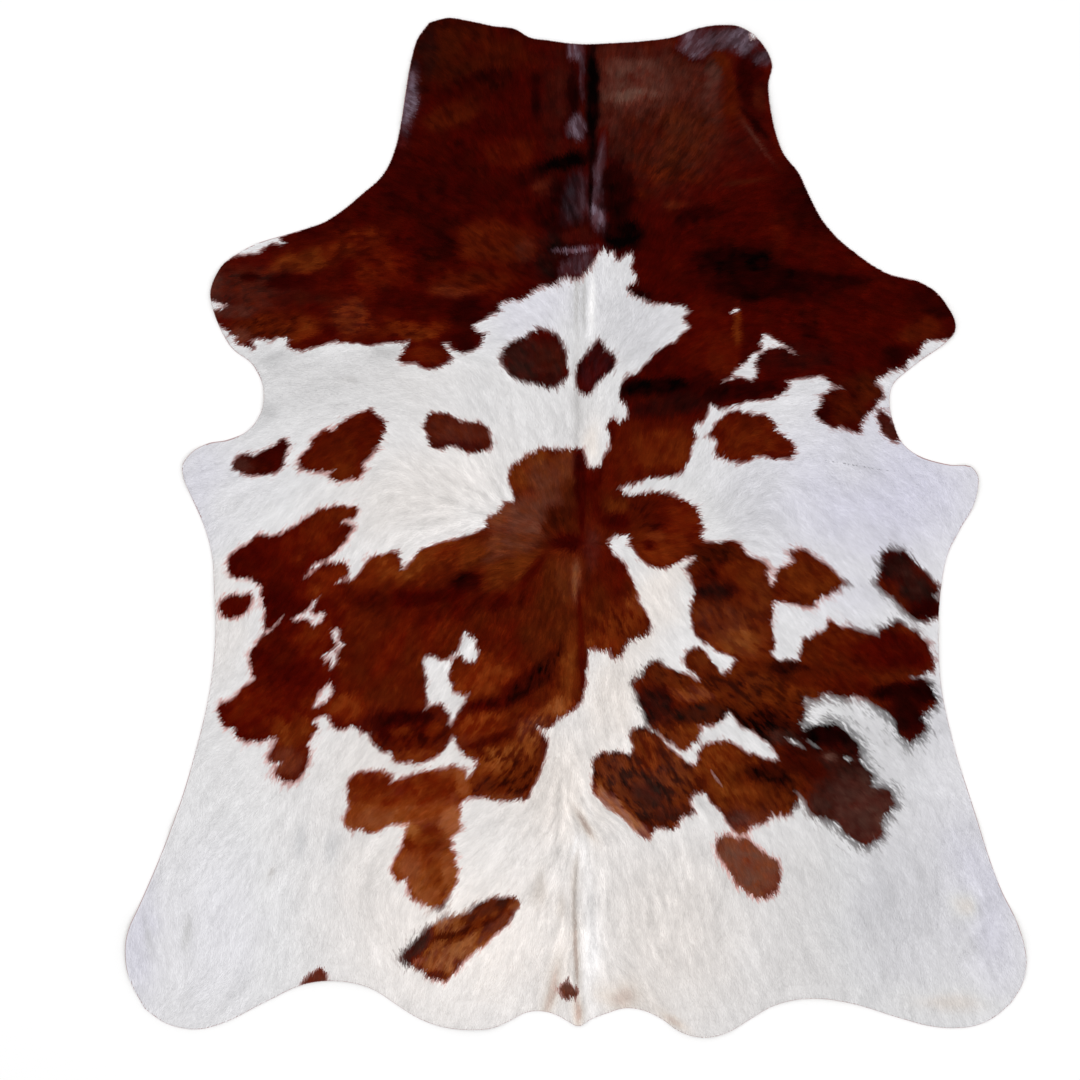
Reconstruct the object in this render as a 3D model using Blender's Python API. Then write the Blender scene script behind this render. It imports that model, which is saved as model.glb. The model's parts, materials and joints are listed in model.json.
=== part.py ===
"""Cowhide rug: one whole hair-on hide, cut along its natural outline and laid out flat, hair side up.

The hide is a single closed sheet. Seen from above, X runs across it, +Y runs along the spine towards
the neck, and +Z is up. The origin is on the floor, under the middle of the hide's bounding box.

The outline comes from three short tables: the two sides, a row for each section from the neck to the
hind legs, and the neck and hem edges that close them. A grid between those four edges gives the
underside, which is then extruded to the hide's thickness. Low folds lift both faces together, so the
hide keeps its thickness there and lies flat on the floor everywhere else.
"""

from collections import namedtuple

import bmesh
import bpy
import numpy as np

# Driving dimensions, in metres.
HIDE_LENGTH = 2.15  # from the neck edge to the lowest lobe of the hem
HIDE_WIDTH = 1.90  # across the hind legs
LEATHER = 0.0025  # the tanned skin, which is what shows at the cut edge
COAT = 0.0030  # short hair lying on the skin
RIM = 0.016  # the coat thins out over this distance from the cut edge

ROWS = 72  # grid lines across the hide, between the neck and hem edges
COLUMNS = 50  # grid lines along the hide, between the two sides

COAT_COLOUR = (0.16, 0.035, 0.015, 1.0)

MM = 0.001

# The two sides, a row for each section from the neck down. X and Y are in centimetres from the middle.
Section = namedtuple("Section", "place left_x left_y right_x right_y")
SECTIONS = (
    Section("neck corners", -31.0, 106.5, 37.5, 104.0),
    Section("neck", -33.5, 103.0, 40.0, 101.0),
    Section("neck", -34.8, 98.5, 41.4, 97.8),
    Section("neck", -36.0, 91.5, 40.6, 93.4),
    Section("neck", -37.0, 85.0, 41.4, 86.2),
    Section("throat", -38.0, 80.5, 42.5, 82.0),
    Section("throat", -39.5, 76.5, 44.0, 78.5),
    Section("shoulder", -41.5, 73.5, 46.9, 75.0),
    Section("shoulder", -45.0, 70.5, 49.0, 70.5),
    Section("shoulder", -48.5, 67.5, 51.7, 65.3),
    Section("shoulder", -53.0, 64.5, 54.5, 61.8),
    Section("shoulder", -60.5, 62.0, 58.1, 58.6),
    Section("foreleg front", -67.0, 60.0, 65.5, 53.7),
    Section("foreleg front", -71.5, 57.7, 73.0, 51.6),
    Section("foreleg front", -74.5, 55.5, 76.2, 49.5),
    Section("foreleg end", -76.5, 52.0, 78.3, 46.7),
    Section("foreleg end", -77.2, 49.3, 79.8, 44.0),
    Section("foreleg end", -76.3, 45.0, 80.0, 41.5),
    Section("foreleg back", -73.5, 39.0, 78.0, 39.0),
    Section("foreleg back", -68.0, 34.0, 70.5, 33.5),
    Section("elbow", -66.0, 29.5, 66.7, 29.8),
    Section("elbow", -66.0, 26.0, 66.1, 26.0),
    Section("elbow", -67.3, 22.7, 67.1, 21.8),
    Section("brisket front", -69.5, 20.2, 68.5, 18.3),
    Section("brisket front", -73.5, 18.5, 72.0, 15.3),
    Section("brisket front", -78.0, 17.6, 79.0, 13.2),
    Section("brisket end", -81.3, 15.6, 83.4, 12.8),
    Section("brisket end", -83.0, 13.2, 84.8, 10.8),
    Section("brisket end", -82.8, 10.5, 84.8, 8.5),
    Section("brisket back", -81.4, 7.0, 84.0, 5.0),
    Section("belly", -78.2, -0.5, 81.0, -0.5),
    Section("belly", -76.8, -6.0, 78.5, -5.5),
    Section("belly", -76.3, -13.0, 77.0, -13.0),
    Section("belly", -76.0, -22.5, 76.4, -23.5),
    Section("flank", -77.0, -32.5, 77.0, -33.0),
    Section("flank", -79.3, -43.5, 79.5, -45.0),
    Section("thigh", -84.0, -59.5, 83.5, -58.0),
    Section("thigh", -88.0, -70.0, 86.8, -68.5),
    Section("hind leg", -92.3, -80.0, 90.0, -77.0),
    Section("hind leg", -94.3, -84.5, 92.7, -82.5),
    Section("hind leg end", -95.1, -89.0, 94.6, -88.3),
    Section("hind leg end", -94.7, -93.5, 95.0, -92.5),
    Section("hind leg end", -93.2, -97.5, 94.1, -96.5),
    Section("hem corners", -91.0, -101.5, 91.8, -100.3),
)

# The neck and hem edges between those corners, from left to right, in centimetres from the middle.
EdgePoint = namedtuple("EdgePoint", "place x y")
NECK_EDGE = (
    EdgePoint("left corner", -31.0, 106.5),
    EdgePoint("left corner", -27.2, 107.5),
    EdgePoint("left corner", -22.7, 106.9),
    EdgePoint("left half", -17.5, 105.8),
    EdgePoint("left half", -12.5, 105.0),
    EdgePoint("left half", -10.0, 103.5),
    EdgePoint("nape", -6.0, 102.8),
    EdgePoint("nape", 0.5, 102.0),
    EdgePoint("nape", 7.8, 102.2),
    EdgePoint("right half", 15.0, 102.7),
    EdgePoint("right half", 21.4, 103.7),
    EdgePoint("right half", 24.7, 105.0),
    EdgePoint("right corner", 30.4, 106.0),
    EdgePoint("right corner", 34.6, 105.6),
    EdgePoint("right corner", 37.5, 104.0),
)
HEM_EDGE = (
    EdgePoint("left hind leg", -91.0, -101.5),
    EdgePoint("left hind leg", -87.5, -104.1),
    EdgePoint("left hind leg", -83.1, -105.6),
    EdgePoint("left hind leg", -79.3, -105.8),
    EdgePoint("left hind leg", -75.3, -104.8),
    EdgePoint("left hollow", -65.2, -99.9),
    EdgePoint("left hollow", -57.3, -96.3),
    EdgePoint("left hollow", -52.5, -95.6),
    EdgePoint("left hollow", -47.6, -95.9),
    EdgePoint("left hollow", -42.8, -97.4),
    EdgePoint("left rump", -38.1, -100.5),
    EdgePoint("left rump", -33.3, -103.5),
    EdgePoint("left rump", -28.5, -105.2),
    EdgePoint("left rump", -22.0, -105.9),
    EdgePoint("left rump", -17.5, -105.5),
    EdgePoint("left rump", -13.8, -103.9),
    EdgePoint("beside the tail", -10.5, -102.3),
    EdgePoint("beside the tail", -7.5, -102.0),
    EdgePoint("beside the tail", -4.4, -102.7),
    EdgePoint("tail root", -1.6, -104.2),
    EdgePoint("tail root", 0.5, -105.2),
    EdgePoint("tail root", 3.0, -103.8),
    EdgePoint("beside the tail", 6.4, -102.5),
    EdgePoint("beside the tail", 10.2, -101.4),
    EdgePoint("beside the tail", 14.0, -101.8),
    EdgePoint("right rump", 18.0, -103.6),
    EdgePoint("right rump", 21.8, -106.2),
    EdgePoint("right rump", 25.5, -107.4),
    EdgePoint("right rump", 28.8, -107.4),
    EdgePoint("right rump", 32.3, -106.3),
    EdgePoint("right rump", 36.5, -103.9),
    EdgePoint("right hollow", 41.4, -101.0),
    EdgePoint("right hollow", 46.3, -99.6),
    EdgePoint("right hollow", 51.0, -99.3),
    EdgePoint("right hollow", 56.5, -100.0),
    EdgePoint("right hind leg", 68.4, -103.5),
    EdgePoint("right hind leg", 74.3, -105.1),
    EdgePoint("right hind leg", 80.0, -105.6),
    EdgePoint("right hind leg", 84.6, -105.0),
    EdgePoint("right hind leg", 88.3, -103.3),
    EdgePoint("right hind leg", 91.8, -100.3),
)

# Low folds, a row for each crest: its middle, the way it runs as degrees from +X, its reach along and
# across that way from the middle, all in centimetres, and how far it lifts the hide, in millimetres.
Fold = namedtuple("Fold", "place x y turn along across lift")
FOLDS = (
    Fold("curl along the right neck", 39.5, 88.0, 110, 15, 4.5, 8),
    Fold("curl at the right neck corner", 37.0, 102.0, 135, 8, 4.5, 6),
    Fold("lift along the left neck", -36.0, 91.0, 82, 12, 4.0, 6),
    Fold("mane left of the parting", 0.0, 90.0, 90, 17, 2.6, 3),
    Fold("mane right of the parting", 6.6, 88.0, 91, 17, 2.6, 3),
    Fold("left foreleg end", -75.0, 49.5, 96, 9, 5.0, 7),
    Fold("right foreleg end", 78.0, 43.5, 78, 8, 5.0, 7),
    Fold("left elbow", -63.0, 26.0, 150, 9, 3.5, 4),
    Fold("right elbow", 63.0, 24.0, 35, 9, 3.5, 4),
    Fold("left brisket end", -81.0, 12.5, 100, 8, 5.0, 7),
    Fold("right brisket end", 83.0, 9.5, 82, 8, 5.0, 7),
    Fold("left belly edge", -75.0, -18.0, 91, 17, 4.0, 5),
    Fold("right belly edge", 75.5, -24.0, 89, 17, 4.0, 5),
    Fold("left thigh edge", -85.5, -62.0, 112, 12, 4.0, 5),
    Fold("right thigh edge", 85.0, -63.0, 70, 12, 4.0, 4),
    Fold("left hind leg edge", -93.0, -88.0, 95, 13, 5.0, 9),
    Fold("left hind leg crease", -80.5, -83.0, 84, 10, 3.5, 4),
    Fold("right hind leg edge", 92.5, -88.0, 82, 13, 5.0, 9),
    Fold("right hind leg crease", 84.0, -88.5, 58, 9, 3.0, 4),
    Fold("right thigh dimple", 73.5, -66.5, 75, 5, 4.0, 3),
    Fold("left hollow of the hem", -50.0, -96.5, 2, 14, 4.5, 5),
    Fold("left rump edge", -22.0, -104.0, 178, 12, 4.5, 6),
    Fold("right rump edge", 27.0, -105.5, 1, 11, 4.5, 6),
    Fold("right hollow of the hem", 51.0, -100.5, 2, 14, 4.5, 5),
    Fold("wave over the left shoulder", -38.0, 46.0, 28, 24, 7.0, 3),
    Fold("wave over the right shoulder", 41.0, 41.0, 148, 24, 7.0, 3),
    Fold("wave over the left ribs", -50.0, 4.0, 62, 22, 6.5, 3),
    Fold("wave over the right ribs", 51.0, 1.0, 118, 22, 6.5, 3),
    Fold("wave left of the loin", -18.0, -24.0, 82, 26, 7.0, 3),
    Fold("wave right of the loin", 23.0, -36.0, 97, 24, 7.0, 3),
    Fold("wave over the left thigh", -58.0, -70.0, 64, 26, 7.5, 4),
    Fold("wave over the right thigh", 59.0, -73.0, 117, 25, 7.5, 4),
    Fold("wave over the left rump", -30.0, -80.0, 76, 21, 6.0, 3),
    Fold("wave over the right rump", 30.0, -79.0, 104, 21, 6.0, 3),
    Fold("spine above the tail", 0.3, -74.0, 90, 36, 2.4, 4),
    Fold("tail root", 0.5, -101.0, 90, 8, 3.0, 5),
)


def smooth_curve(knots, points, at):
    """Reads a smooth curve through points, which lie at the rising parameters knots, at the parameters at.

    Between two points it is a cubic whose end slopes are the slopes between each point's neighbours.
    """
    slopes = np.gradient(points, knots, axis=0)
    span = np.clip(np.searchsorted(knots, at, side="right") - 1, 0, len(knots) - 2)
    width = (knots[span + 1] - knots[span])[:, None]
    t = (at - knots[span])[:, None] / width
    return (
        (2 * t**3 - 3 * t**2 + 1) * points[span]
        + (t**3 - 2 * t**2 + t) * width * slopes[span]
        + (3 * t**2 - 2 * t**3) * points[span + 1]
        + (t**3 - t**2) * width * slopes[span + 1]
    )


def side_curves(at):
    """The left and right sides at the fractions at of the way from the neck to the hem."""
    left = np.array([(row.left_x, row.left_y) for row in SECTIONS])
    right = np.array([(row.right_x, row.right_y) for row in SECTIONS])
    steps = np.linalg.norm(np.diff(left, axis=0), axis=1) + np.linalg.norm(np.diff(right, axis=0), axis=1)
    knots = np.concatenate(([0.0], np.cumsum(steps))) / steps.sum()
    return smooth_curve(knots, left, at), smooth_curve(knots, right, at)


def cross_curve(edge, at):
    """The neck or hem edge at the fractions at of the way from the left corner to the right one."""
    points = np.array([(row.x, row.y) for row in edge])
    knots = (points[:, 0] - points[0, 0]) / (points[-1, 0] - points[0, 0])
    return smooth_curve(knots, points, at)


def grid_fractions(count, rim):
    """Even fractions from 0 to 1, with one more close to each end, a rim's width in from the edge."""
    return np.concatenate(([0.0], np.linspace(rim, 1 - rim, count - 2), [1.0]))


def hide_plan():
    """The grid's points seen from above in centimetres, as an array of ROWS by COLUMNS by (x, y).

    Each point blends its place between the two sides with its place between the neck and hem edges,
    and takes away the blend of the four corners, which both of those already hold.
    """
    v = grid_fractions(ROWS, RIM / HIDE_LENGTH)
    u = grid_fractions(COLUMNS, RIM / HIDE_WIDTH)
    left, right = side_curves(v)
    neck, hem = cross_curve(NECK_EDGE, u), cross_curve(HEM_EDGE, u)
    across, down = u[None, :, None], v[:, None, None]
    between_sides = (1 - across) * left[:, None] + across * right[:, None]
    between_ends = (1 - down) * neck[None] + down * hem[None]
    neck_corners = (1 - across) * neck[0] + across * neck[-1]
    hem_corners = (1 - across) * hem[0] + across * hem[-1]
    return between_sides + between_ends - (1 - down) * neck_corners - down * hem_corners


def at_size(plan):
    """The plan in metres, brought to the driving width and length about the middle of its box."""
    low, high = plan.min(axis=(0, 1)), plan.max(axis=(0, 1))
    return (plan - (low + high) / 2) * (HIDE_WIDTH, HIDE_LENGTH) / (high - low)


def fold_lift(plan):
    """How far the folds lift the hide, in metres: a rounded crest on each, highest at its middle, that
    has faded to nothing at its reach, so that the hide lies flat between the folds."""
    lift = np.zeros(plan.shape[:2])
    for fold in FOLDS:
        away = plan - (fold.x, fold.y)
        turn = np.radians(fold.turn)
        along = (away[..., 0] * np.cos(turn) + away[..., 1] * np.sin(turn)) / fold.along
        across = (away[..., 1] * np.cos(turn) - away[..., 0] * np.sin(turn)) / fold.across
        lift += fold.lift * MM * np.clip(1 - along**2 - across**2, 0, None) ** 2
    return lift


def coat_depth():
    """The lying hair's depth over the grid: full inside the rim, and half at the cut edge."""
    depth = np.full((ROWS, COLUMNS), COAT)
    depth[[0, -1], :] = COAT / 2
    depth[:, [0, -1]] = COAT / 2
    return depth


def hide_material():
    """Reddish brown hair over leather, with a soft sheen but no gloss."""
    material = bpy.data.materials.new("hair-on hide")
    material.use_nodes = True
    shader = material.node_tree.nodes["Principled BSDF"]
    shader.inputs["Base Color"].default_value = COAT_COLOUR
    shader.inputs["Roughness"].default_value = 0.6
    shader.inputs["Metallic"].default_value = 0.0
    material.diffuse_color = COAT_COLOUR
    return material


def make_hide():
    """Lays the grid out as the underside, and extrudes it upwards by the hide's thickness."""
    plan = hide_plan()
    places = at_size(plan).reshape(-1, 2)
    lift = fold_lift(plan).ravel()
    thickness = (LEATHER + coat_depth()).ravel()

    bm = bmesh.new()
    rise = bm.verts.layers.float.new("rise")
    for (x, y), z, height in zip(places, lift, thickness):
        bm.verts.new((x, y, z))[rise] = height
    bm.verts.ensure_lookup_table()
    for row in range(ROWS - 1):
        for column in range(COLUMNS - 1):
            corner = row * COLUMNS + column
            ring = (corner, corner + 1, corner + COLUMNS + 1, corner + COLUMNS)
            bm.faces.new([bm.verts[i] for i in ring])

    extruded = bmesh.ops.extrude_face_region(bm, geom=bm.faces[:])
    for item in extruded["geom"]:
        if isinstance(item, bmesh.types.BMVert):
            item.co.z += item[rise]
    bmesh.ops.recalc_face_normals(bm, faces=bm.faces[:])

    mesh = bpy.data.meshes.new("cowhide")
    bm.to_mesh(mesh)
    bm.free()
    mesh.shade_smooth()
    mesh.materials.append(hide_material())
    hide = bpy.data.objects.new("cowhide", mesh)
    bpy.context.scene.collection.objects.link(hide)
    return hide


def main():
    for old in list(bpy.data.objects):
        bpy.data.objects.remove(old)
    make_hide()


main()
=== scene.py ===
"""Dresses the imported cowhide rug: a skin of leather, and the short hair lying on it as combed locks.

The skin is a grid between the hide's four edges, lifted by the same low folds as the solid. The locks
are thin four-sided spikes. Each lies the way the hair runs at its place and takes its colour from the
patches of the coat there. Places on the coat are read from the photograph as named pixels of its
1080 by 1080 frame, and are turned into metres on the hide by the hide's own length.
"""

import functools
import json
from collections import namedtuple

import bpy
import numpy as np
from bpy.props import FloatProperty, FloatVectorProperty, IntProperty, PointerProperty
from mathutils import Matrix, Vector

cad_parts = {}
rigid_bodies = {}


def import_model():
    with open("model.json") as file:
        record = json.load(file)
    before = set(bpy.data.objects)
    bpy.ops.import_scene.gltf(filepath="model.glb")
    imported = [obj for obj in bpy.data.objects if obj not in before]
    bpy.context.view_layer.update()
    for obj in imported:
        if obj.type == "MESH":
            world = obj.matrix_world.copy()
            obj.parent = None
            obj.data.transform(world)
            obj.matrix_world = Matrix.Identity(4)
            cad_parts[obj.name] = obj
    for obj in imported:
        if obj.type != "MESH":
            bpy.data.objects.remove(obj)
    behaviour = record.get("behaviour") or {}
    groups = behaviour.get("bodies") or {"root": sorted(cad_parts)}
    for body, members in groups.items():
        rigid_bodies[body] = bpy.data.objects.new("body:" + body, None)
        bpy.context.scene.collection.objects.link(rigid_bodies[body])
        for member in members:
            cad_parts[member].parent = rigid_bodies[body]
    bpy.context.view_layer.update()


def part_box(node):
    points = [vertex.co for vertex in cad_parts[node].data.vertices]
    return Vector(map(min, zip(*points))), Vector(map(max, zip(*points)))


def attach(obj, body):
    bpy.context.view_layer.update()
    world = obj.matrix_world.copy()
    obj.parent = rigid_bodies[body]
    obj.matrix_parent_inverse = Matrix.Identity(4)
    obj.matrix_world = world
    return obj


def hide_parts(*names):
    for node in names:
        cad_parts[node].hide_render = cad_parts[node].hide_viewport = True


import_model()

bl_info = {
    "name": "Cowhide Rug",
    "version": (1, 0, 0),
    "blender": (4, 5, 0),
    "location": "3D View > Sidebar > Cowhide",
    "description": "Makes a whole hair-on hide with brown patches on a white coat, laid flat",
    "category": "Add Mesh",
}

HIDE_LOW, HIDE_HIGH = (np.array(corner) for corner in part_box("cowhide"))
HIDE_WIDTH, HIDE_LENGTH = (HIDE_HIGH - HIDE_LOW)[:2]

MM = 0.001

# The photograph, in pixels: its place over the middle of the hide, the hide's length, and its own
# middle and side.
PHOTO_HIDE_MIDDLE = np.array((575.8, 527.5))
PHOTO_HIDE_LENGTH = 1019.0
PHOTO_MIDDLE = np.array((540.0, 540.0))
PHOTO_SIDE = 1080.0
PHOTO_WAY = (1, -1)  # turns a way on the hide into one in the photograph, where Y runs down, and back
PIXEL = HIDE_LENGTH / PHOTO_HIDE_LENGTH

TINY = 1e-12  # stands in for zero in a division


def rows_of(kind, *groups):
    """Rows of one kind. Each group names a place, and then gives the other values of each row there."""
    return tuple(kind(place, *values) for place, *rows in groups for values in rows)


# ---------------------------------------------------------------------------------------------------
# The hide's outline and folds, as in the solid
# ---------------------------------------------------------------------------------------------------

# The two sides, a row for each section from the neck down. X and Y are in centimetres from the middle.
Section = namedtuple("Section", "place left_x left_y right_x right_y")
SECTIONS = rows_of(
    Section,
    ("neck corners", (-31, 106.5, 37.5, 104)),
    ("neck", (-33.5, 103, 40, 101), (-34.8, 98.5, 41.4, 97.8), (-36, 91.5, 40.6, 93.4),
     (-37, 85, 41.4, 86.2)),
    ("throat", (-38, 80.5, 42.5, 82), (-39.5, 76.5, 44, 78.5)),
    ("shoulder", (-41.5, 73.5, 46.9, 75), (-45, 70.5, 49, 70.5), (-48.5, 67.5, 51.7, 65.3),
     (-53, 64.5, 54.5, 61.8), (-60.5, 62, 58.1, 58.6)),
    ("foreleg front", (-67, 60, 65.5, 53.7), (-71.5, 57.7, 73, 51.6), (-74.5, 55.5, 76.2, 49.5)),
    ("foreleg end", (-76.5, 52, 78.3, 46.7), (-77.2, 49.3, 79.8, 44), (-76.3, 45, 80, 41.5)),
    ("foreleg back", (-73.5, 39, 78, 39), (-68, 34, 70.5, 33.5)),
    ("elbow", (-66, 29.5, 66.7, 29.8), (-66, 26, 66.1, 26), (-67.3, 22.7, 67.1, 21.8)),
    ("brisket front", (-69.5, 20.2, 68.5, 18.3), (-73.5, 18.5, 72, 15.3), (-78, 17.6, 79, 13.2)),
    ("brisket end", (-81.3, 15.6, 83.4, 12.8), (-83, 13.2, 84.8, 10.8), (-82.8, 10.5, 84.8, 8.5)),
    ("brisket back", (-81.4, 7, 84, 5)),
    ("belly", (-78.2, -0.5, 81, -0.5), (-76.8, -6, 78.5, -5.5), (-76.3, -13, 77, -13),
     (-76, -22.5, 76.4, -23.5)),
    ("flank", (-77, -32.5, 77, -33), (-79.3, -43.5, 79.5, -45)),
    ("thigh", (-84, -59.5, 83.5, -58), (-88, -70, 86.8, -68.5)),
    ("hind leg", (-92.3, -80, 90, -77), (-94.3, -84.5, 92.7, -82.5)),
    ("hind leg end", (-95.1, -89, 94.6, -88.3), (-94.7, -93.5, 95, -92.5), (-93.2, -97.5, 94.1, -96.5)),
    ("hem corners", (-91, -101.5, 91.8, -100.3)),
)

# The neck and hem edges between those corners, from left to right, in centimetres from the middle.
EdgePoint = namedtuple("EdgePoint", "place x y")
NECK_EDGE = rows_of(
    EdgePoint,
    ("left corner", (-31, 106.5), (-27.2, 107.5), (-22.7, 106.9)),
    ("left half", (-17.5, 105.8), (-12.5, 105), (-10, 103.5)),
    ("nape", (-6, 102.8), (0.5, 102), (7.8, 102.2)),
    ("right half", (15, 102.7), (21.4, 103.7), (24.7, 105)),
    ("right corner", (30.4, 106), (34.6, 105.6), (37.5, 104)),
)
HEM_EDGE = rows_of(
    EdgePoint,
    ("left hind leg", (-91, -101.5), (-87.5, -104.1), (-83.1, -105.6), (-79.3, -105.8), (-75.3, -104.8)),
    ("left hollow", (-65.2, -99.9), (-57.3, -96.3), (-52.5, -95.6), (-47.6, -95.9), (-42.8, -97.4)),
    ("left rump", (-38.1, -100.5), (-33.3, -103.5), (-28.5, -105.2), (-22, -105.9), (-17.5, -105.5),
     (-13.8, -103.9)),
    ("beside the tail", (-10.5, -102.3), (-7.5, -102), (-4.4, -102.7)),
    ("tail root", (-1.6, -104.2), (0.5, -105.2), (3, -103.8)),
    ("beside the tail", (6.4, -102.5), (10.2, -101.4), (14, -101.8)),
    ("right rump", (18, -103.6), (21.8, -106.2), (25.5, -107.4), (28.8, -107.4), (32.3, -106.3),
     (36.5, -103.9)),
    ("right hollow", (41.4, -101), (46.3, -99.6), (51, -99.3), (56.5, -100)),
    ("right hind leg", (68.4, -103.5), (74.3, -105.1), (80, -105.6), (84.6, -105), (88.3, -103.3),
     (91.8, -100.3)),
)

# Low folds, a row for each crest: its middle, the way it runs as degrees from +X, its reach along and
# across that way from the middle, all in centimetres, and how far it lifts the hide, in millimetres.
Fold = namedtuple("Fold", "place x y turn along across lift")
FOLDS = (
    Fold("curl along the right neck", 39.5, 88, 110, 15, 4.5, 8),
    Fold("curl at the right neck corner", 37, 102, 135, 8, 4.5, 6),
    Fold("lift along the left neck", -36, 91, 82, 12, 4, 6),
    Fold("mane left of the parting", 0, 90, 90, 17, 2.6, 3),
    Fold("mane right of the parting", 6.6, 88, 91, 17, 2.6, 3),
    Fold("left foreleg end", -75, 49.5, 96, 9, 5, 7),
    Fold("right foreleg end", 78, 43.5, 78, 8, 5, 7),
    Fold("left elbow", -63, 26, 150, 9, 3.5, 4),
    Fold("right elbow", 63, 24, 35, 9, 3.5, 4),
    Fold("left brisket end", -81, 12.5, 100, 8, 5, 7),
    Fold("right brisket end", 83, 9.5, 82, 8, 5, 7),
    Fold("left belly edge", -75, -18, 91, 17, 4, 5),
    Fold("right belly edge", 75.5, -24, 89, 17, 4, 5),
    Fold("left thigh edge", -85.5, -62, 112, 12, 4, 5),
    Fold("right thigh edge", 85, -63, 70, 12, 4, 4),
    Fold("left hind leg edge", -93, -88, 95, 13, 5, 9),
    Fold("left hind leg crease", -80.5, -83, 84, 10, 3.5, 4),
    Fold("right hind leg edge", 92.5, -88, 82, 13, 5, 9),
    Fold("right hind leg crease", 84, -88.5, 58, 9, 3, 4),
    Fold("right thigh dimple", 73.5, -66.5, 75, 5, 4, 3),
    Fold("left hollow of the hem", -50, -96.5, 2, 14, 4.5, 5),
    Fold("left rump edge", -22, -104, 178, 12, 4.5, 6),
    Fold("right rump edge", 27, -105.5, 1, 11, 4.5, 6),
    Fold("right hollow of the hem", 51, -100.5, 2, 14, 4.5, 5),
    Fold("wave over the left shoulder", -38, 46, 28, 24, 7, 3),
    Fold("wave over the right shoulder", 41, 41, 148, 24, 7, 3),
    Fold("wave over the left ribs", -50, 4, 62, 22, 6.5, 3),
    Fold("wave over the right ribs", 51, 1, 118, 22, 6.5, 3),
    Fold("wave left of the loin", -18, -24, 82, 26, 7, 3),
    Fold("wave right of the loin", 23, -36, 97, 24, 7, 3),
    Fold("wave over the left thigh", -58, -70, 64, 26, 7.5, 4),
    Fold("wave over the right thigh", 59, -73, 117, 25, 7.5, 4),
    Fold("wave over the left rump", -30, -80, 76, 21, 6, 3),
    Fold("wave over the right rump", 30, -79, 104, 21, 6, 3),
    Fold("spine above the tail", 0.3, -74, 90, 36, 2.4, 4),
    Fold("tail root", 0.5, -101, 90, 8, 3, 5),
)

# ---------------------------------------------------------------------------------------------------
# The coat, in pixels of the photograph: X to the right and Y down
# ---------------------------------------------------------------------------------------------------

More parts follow.
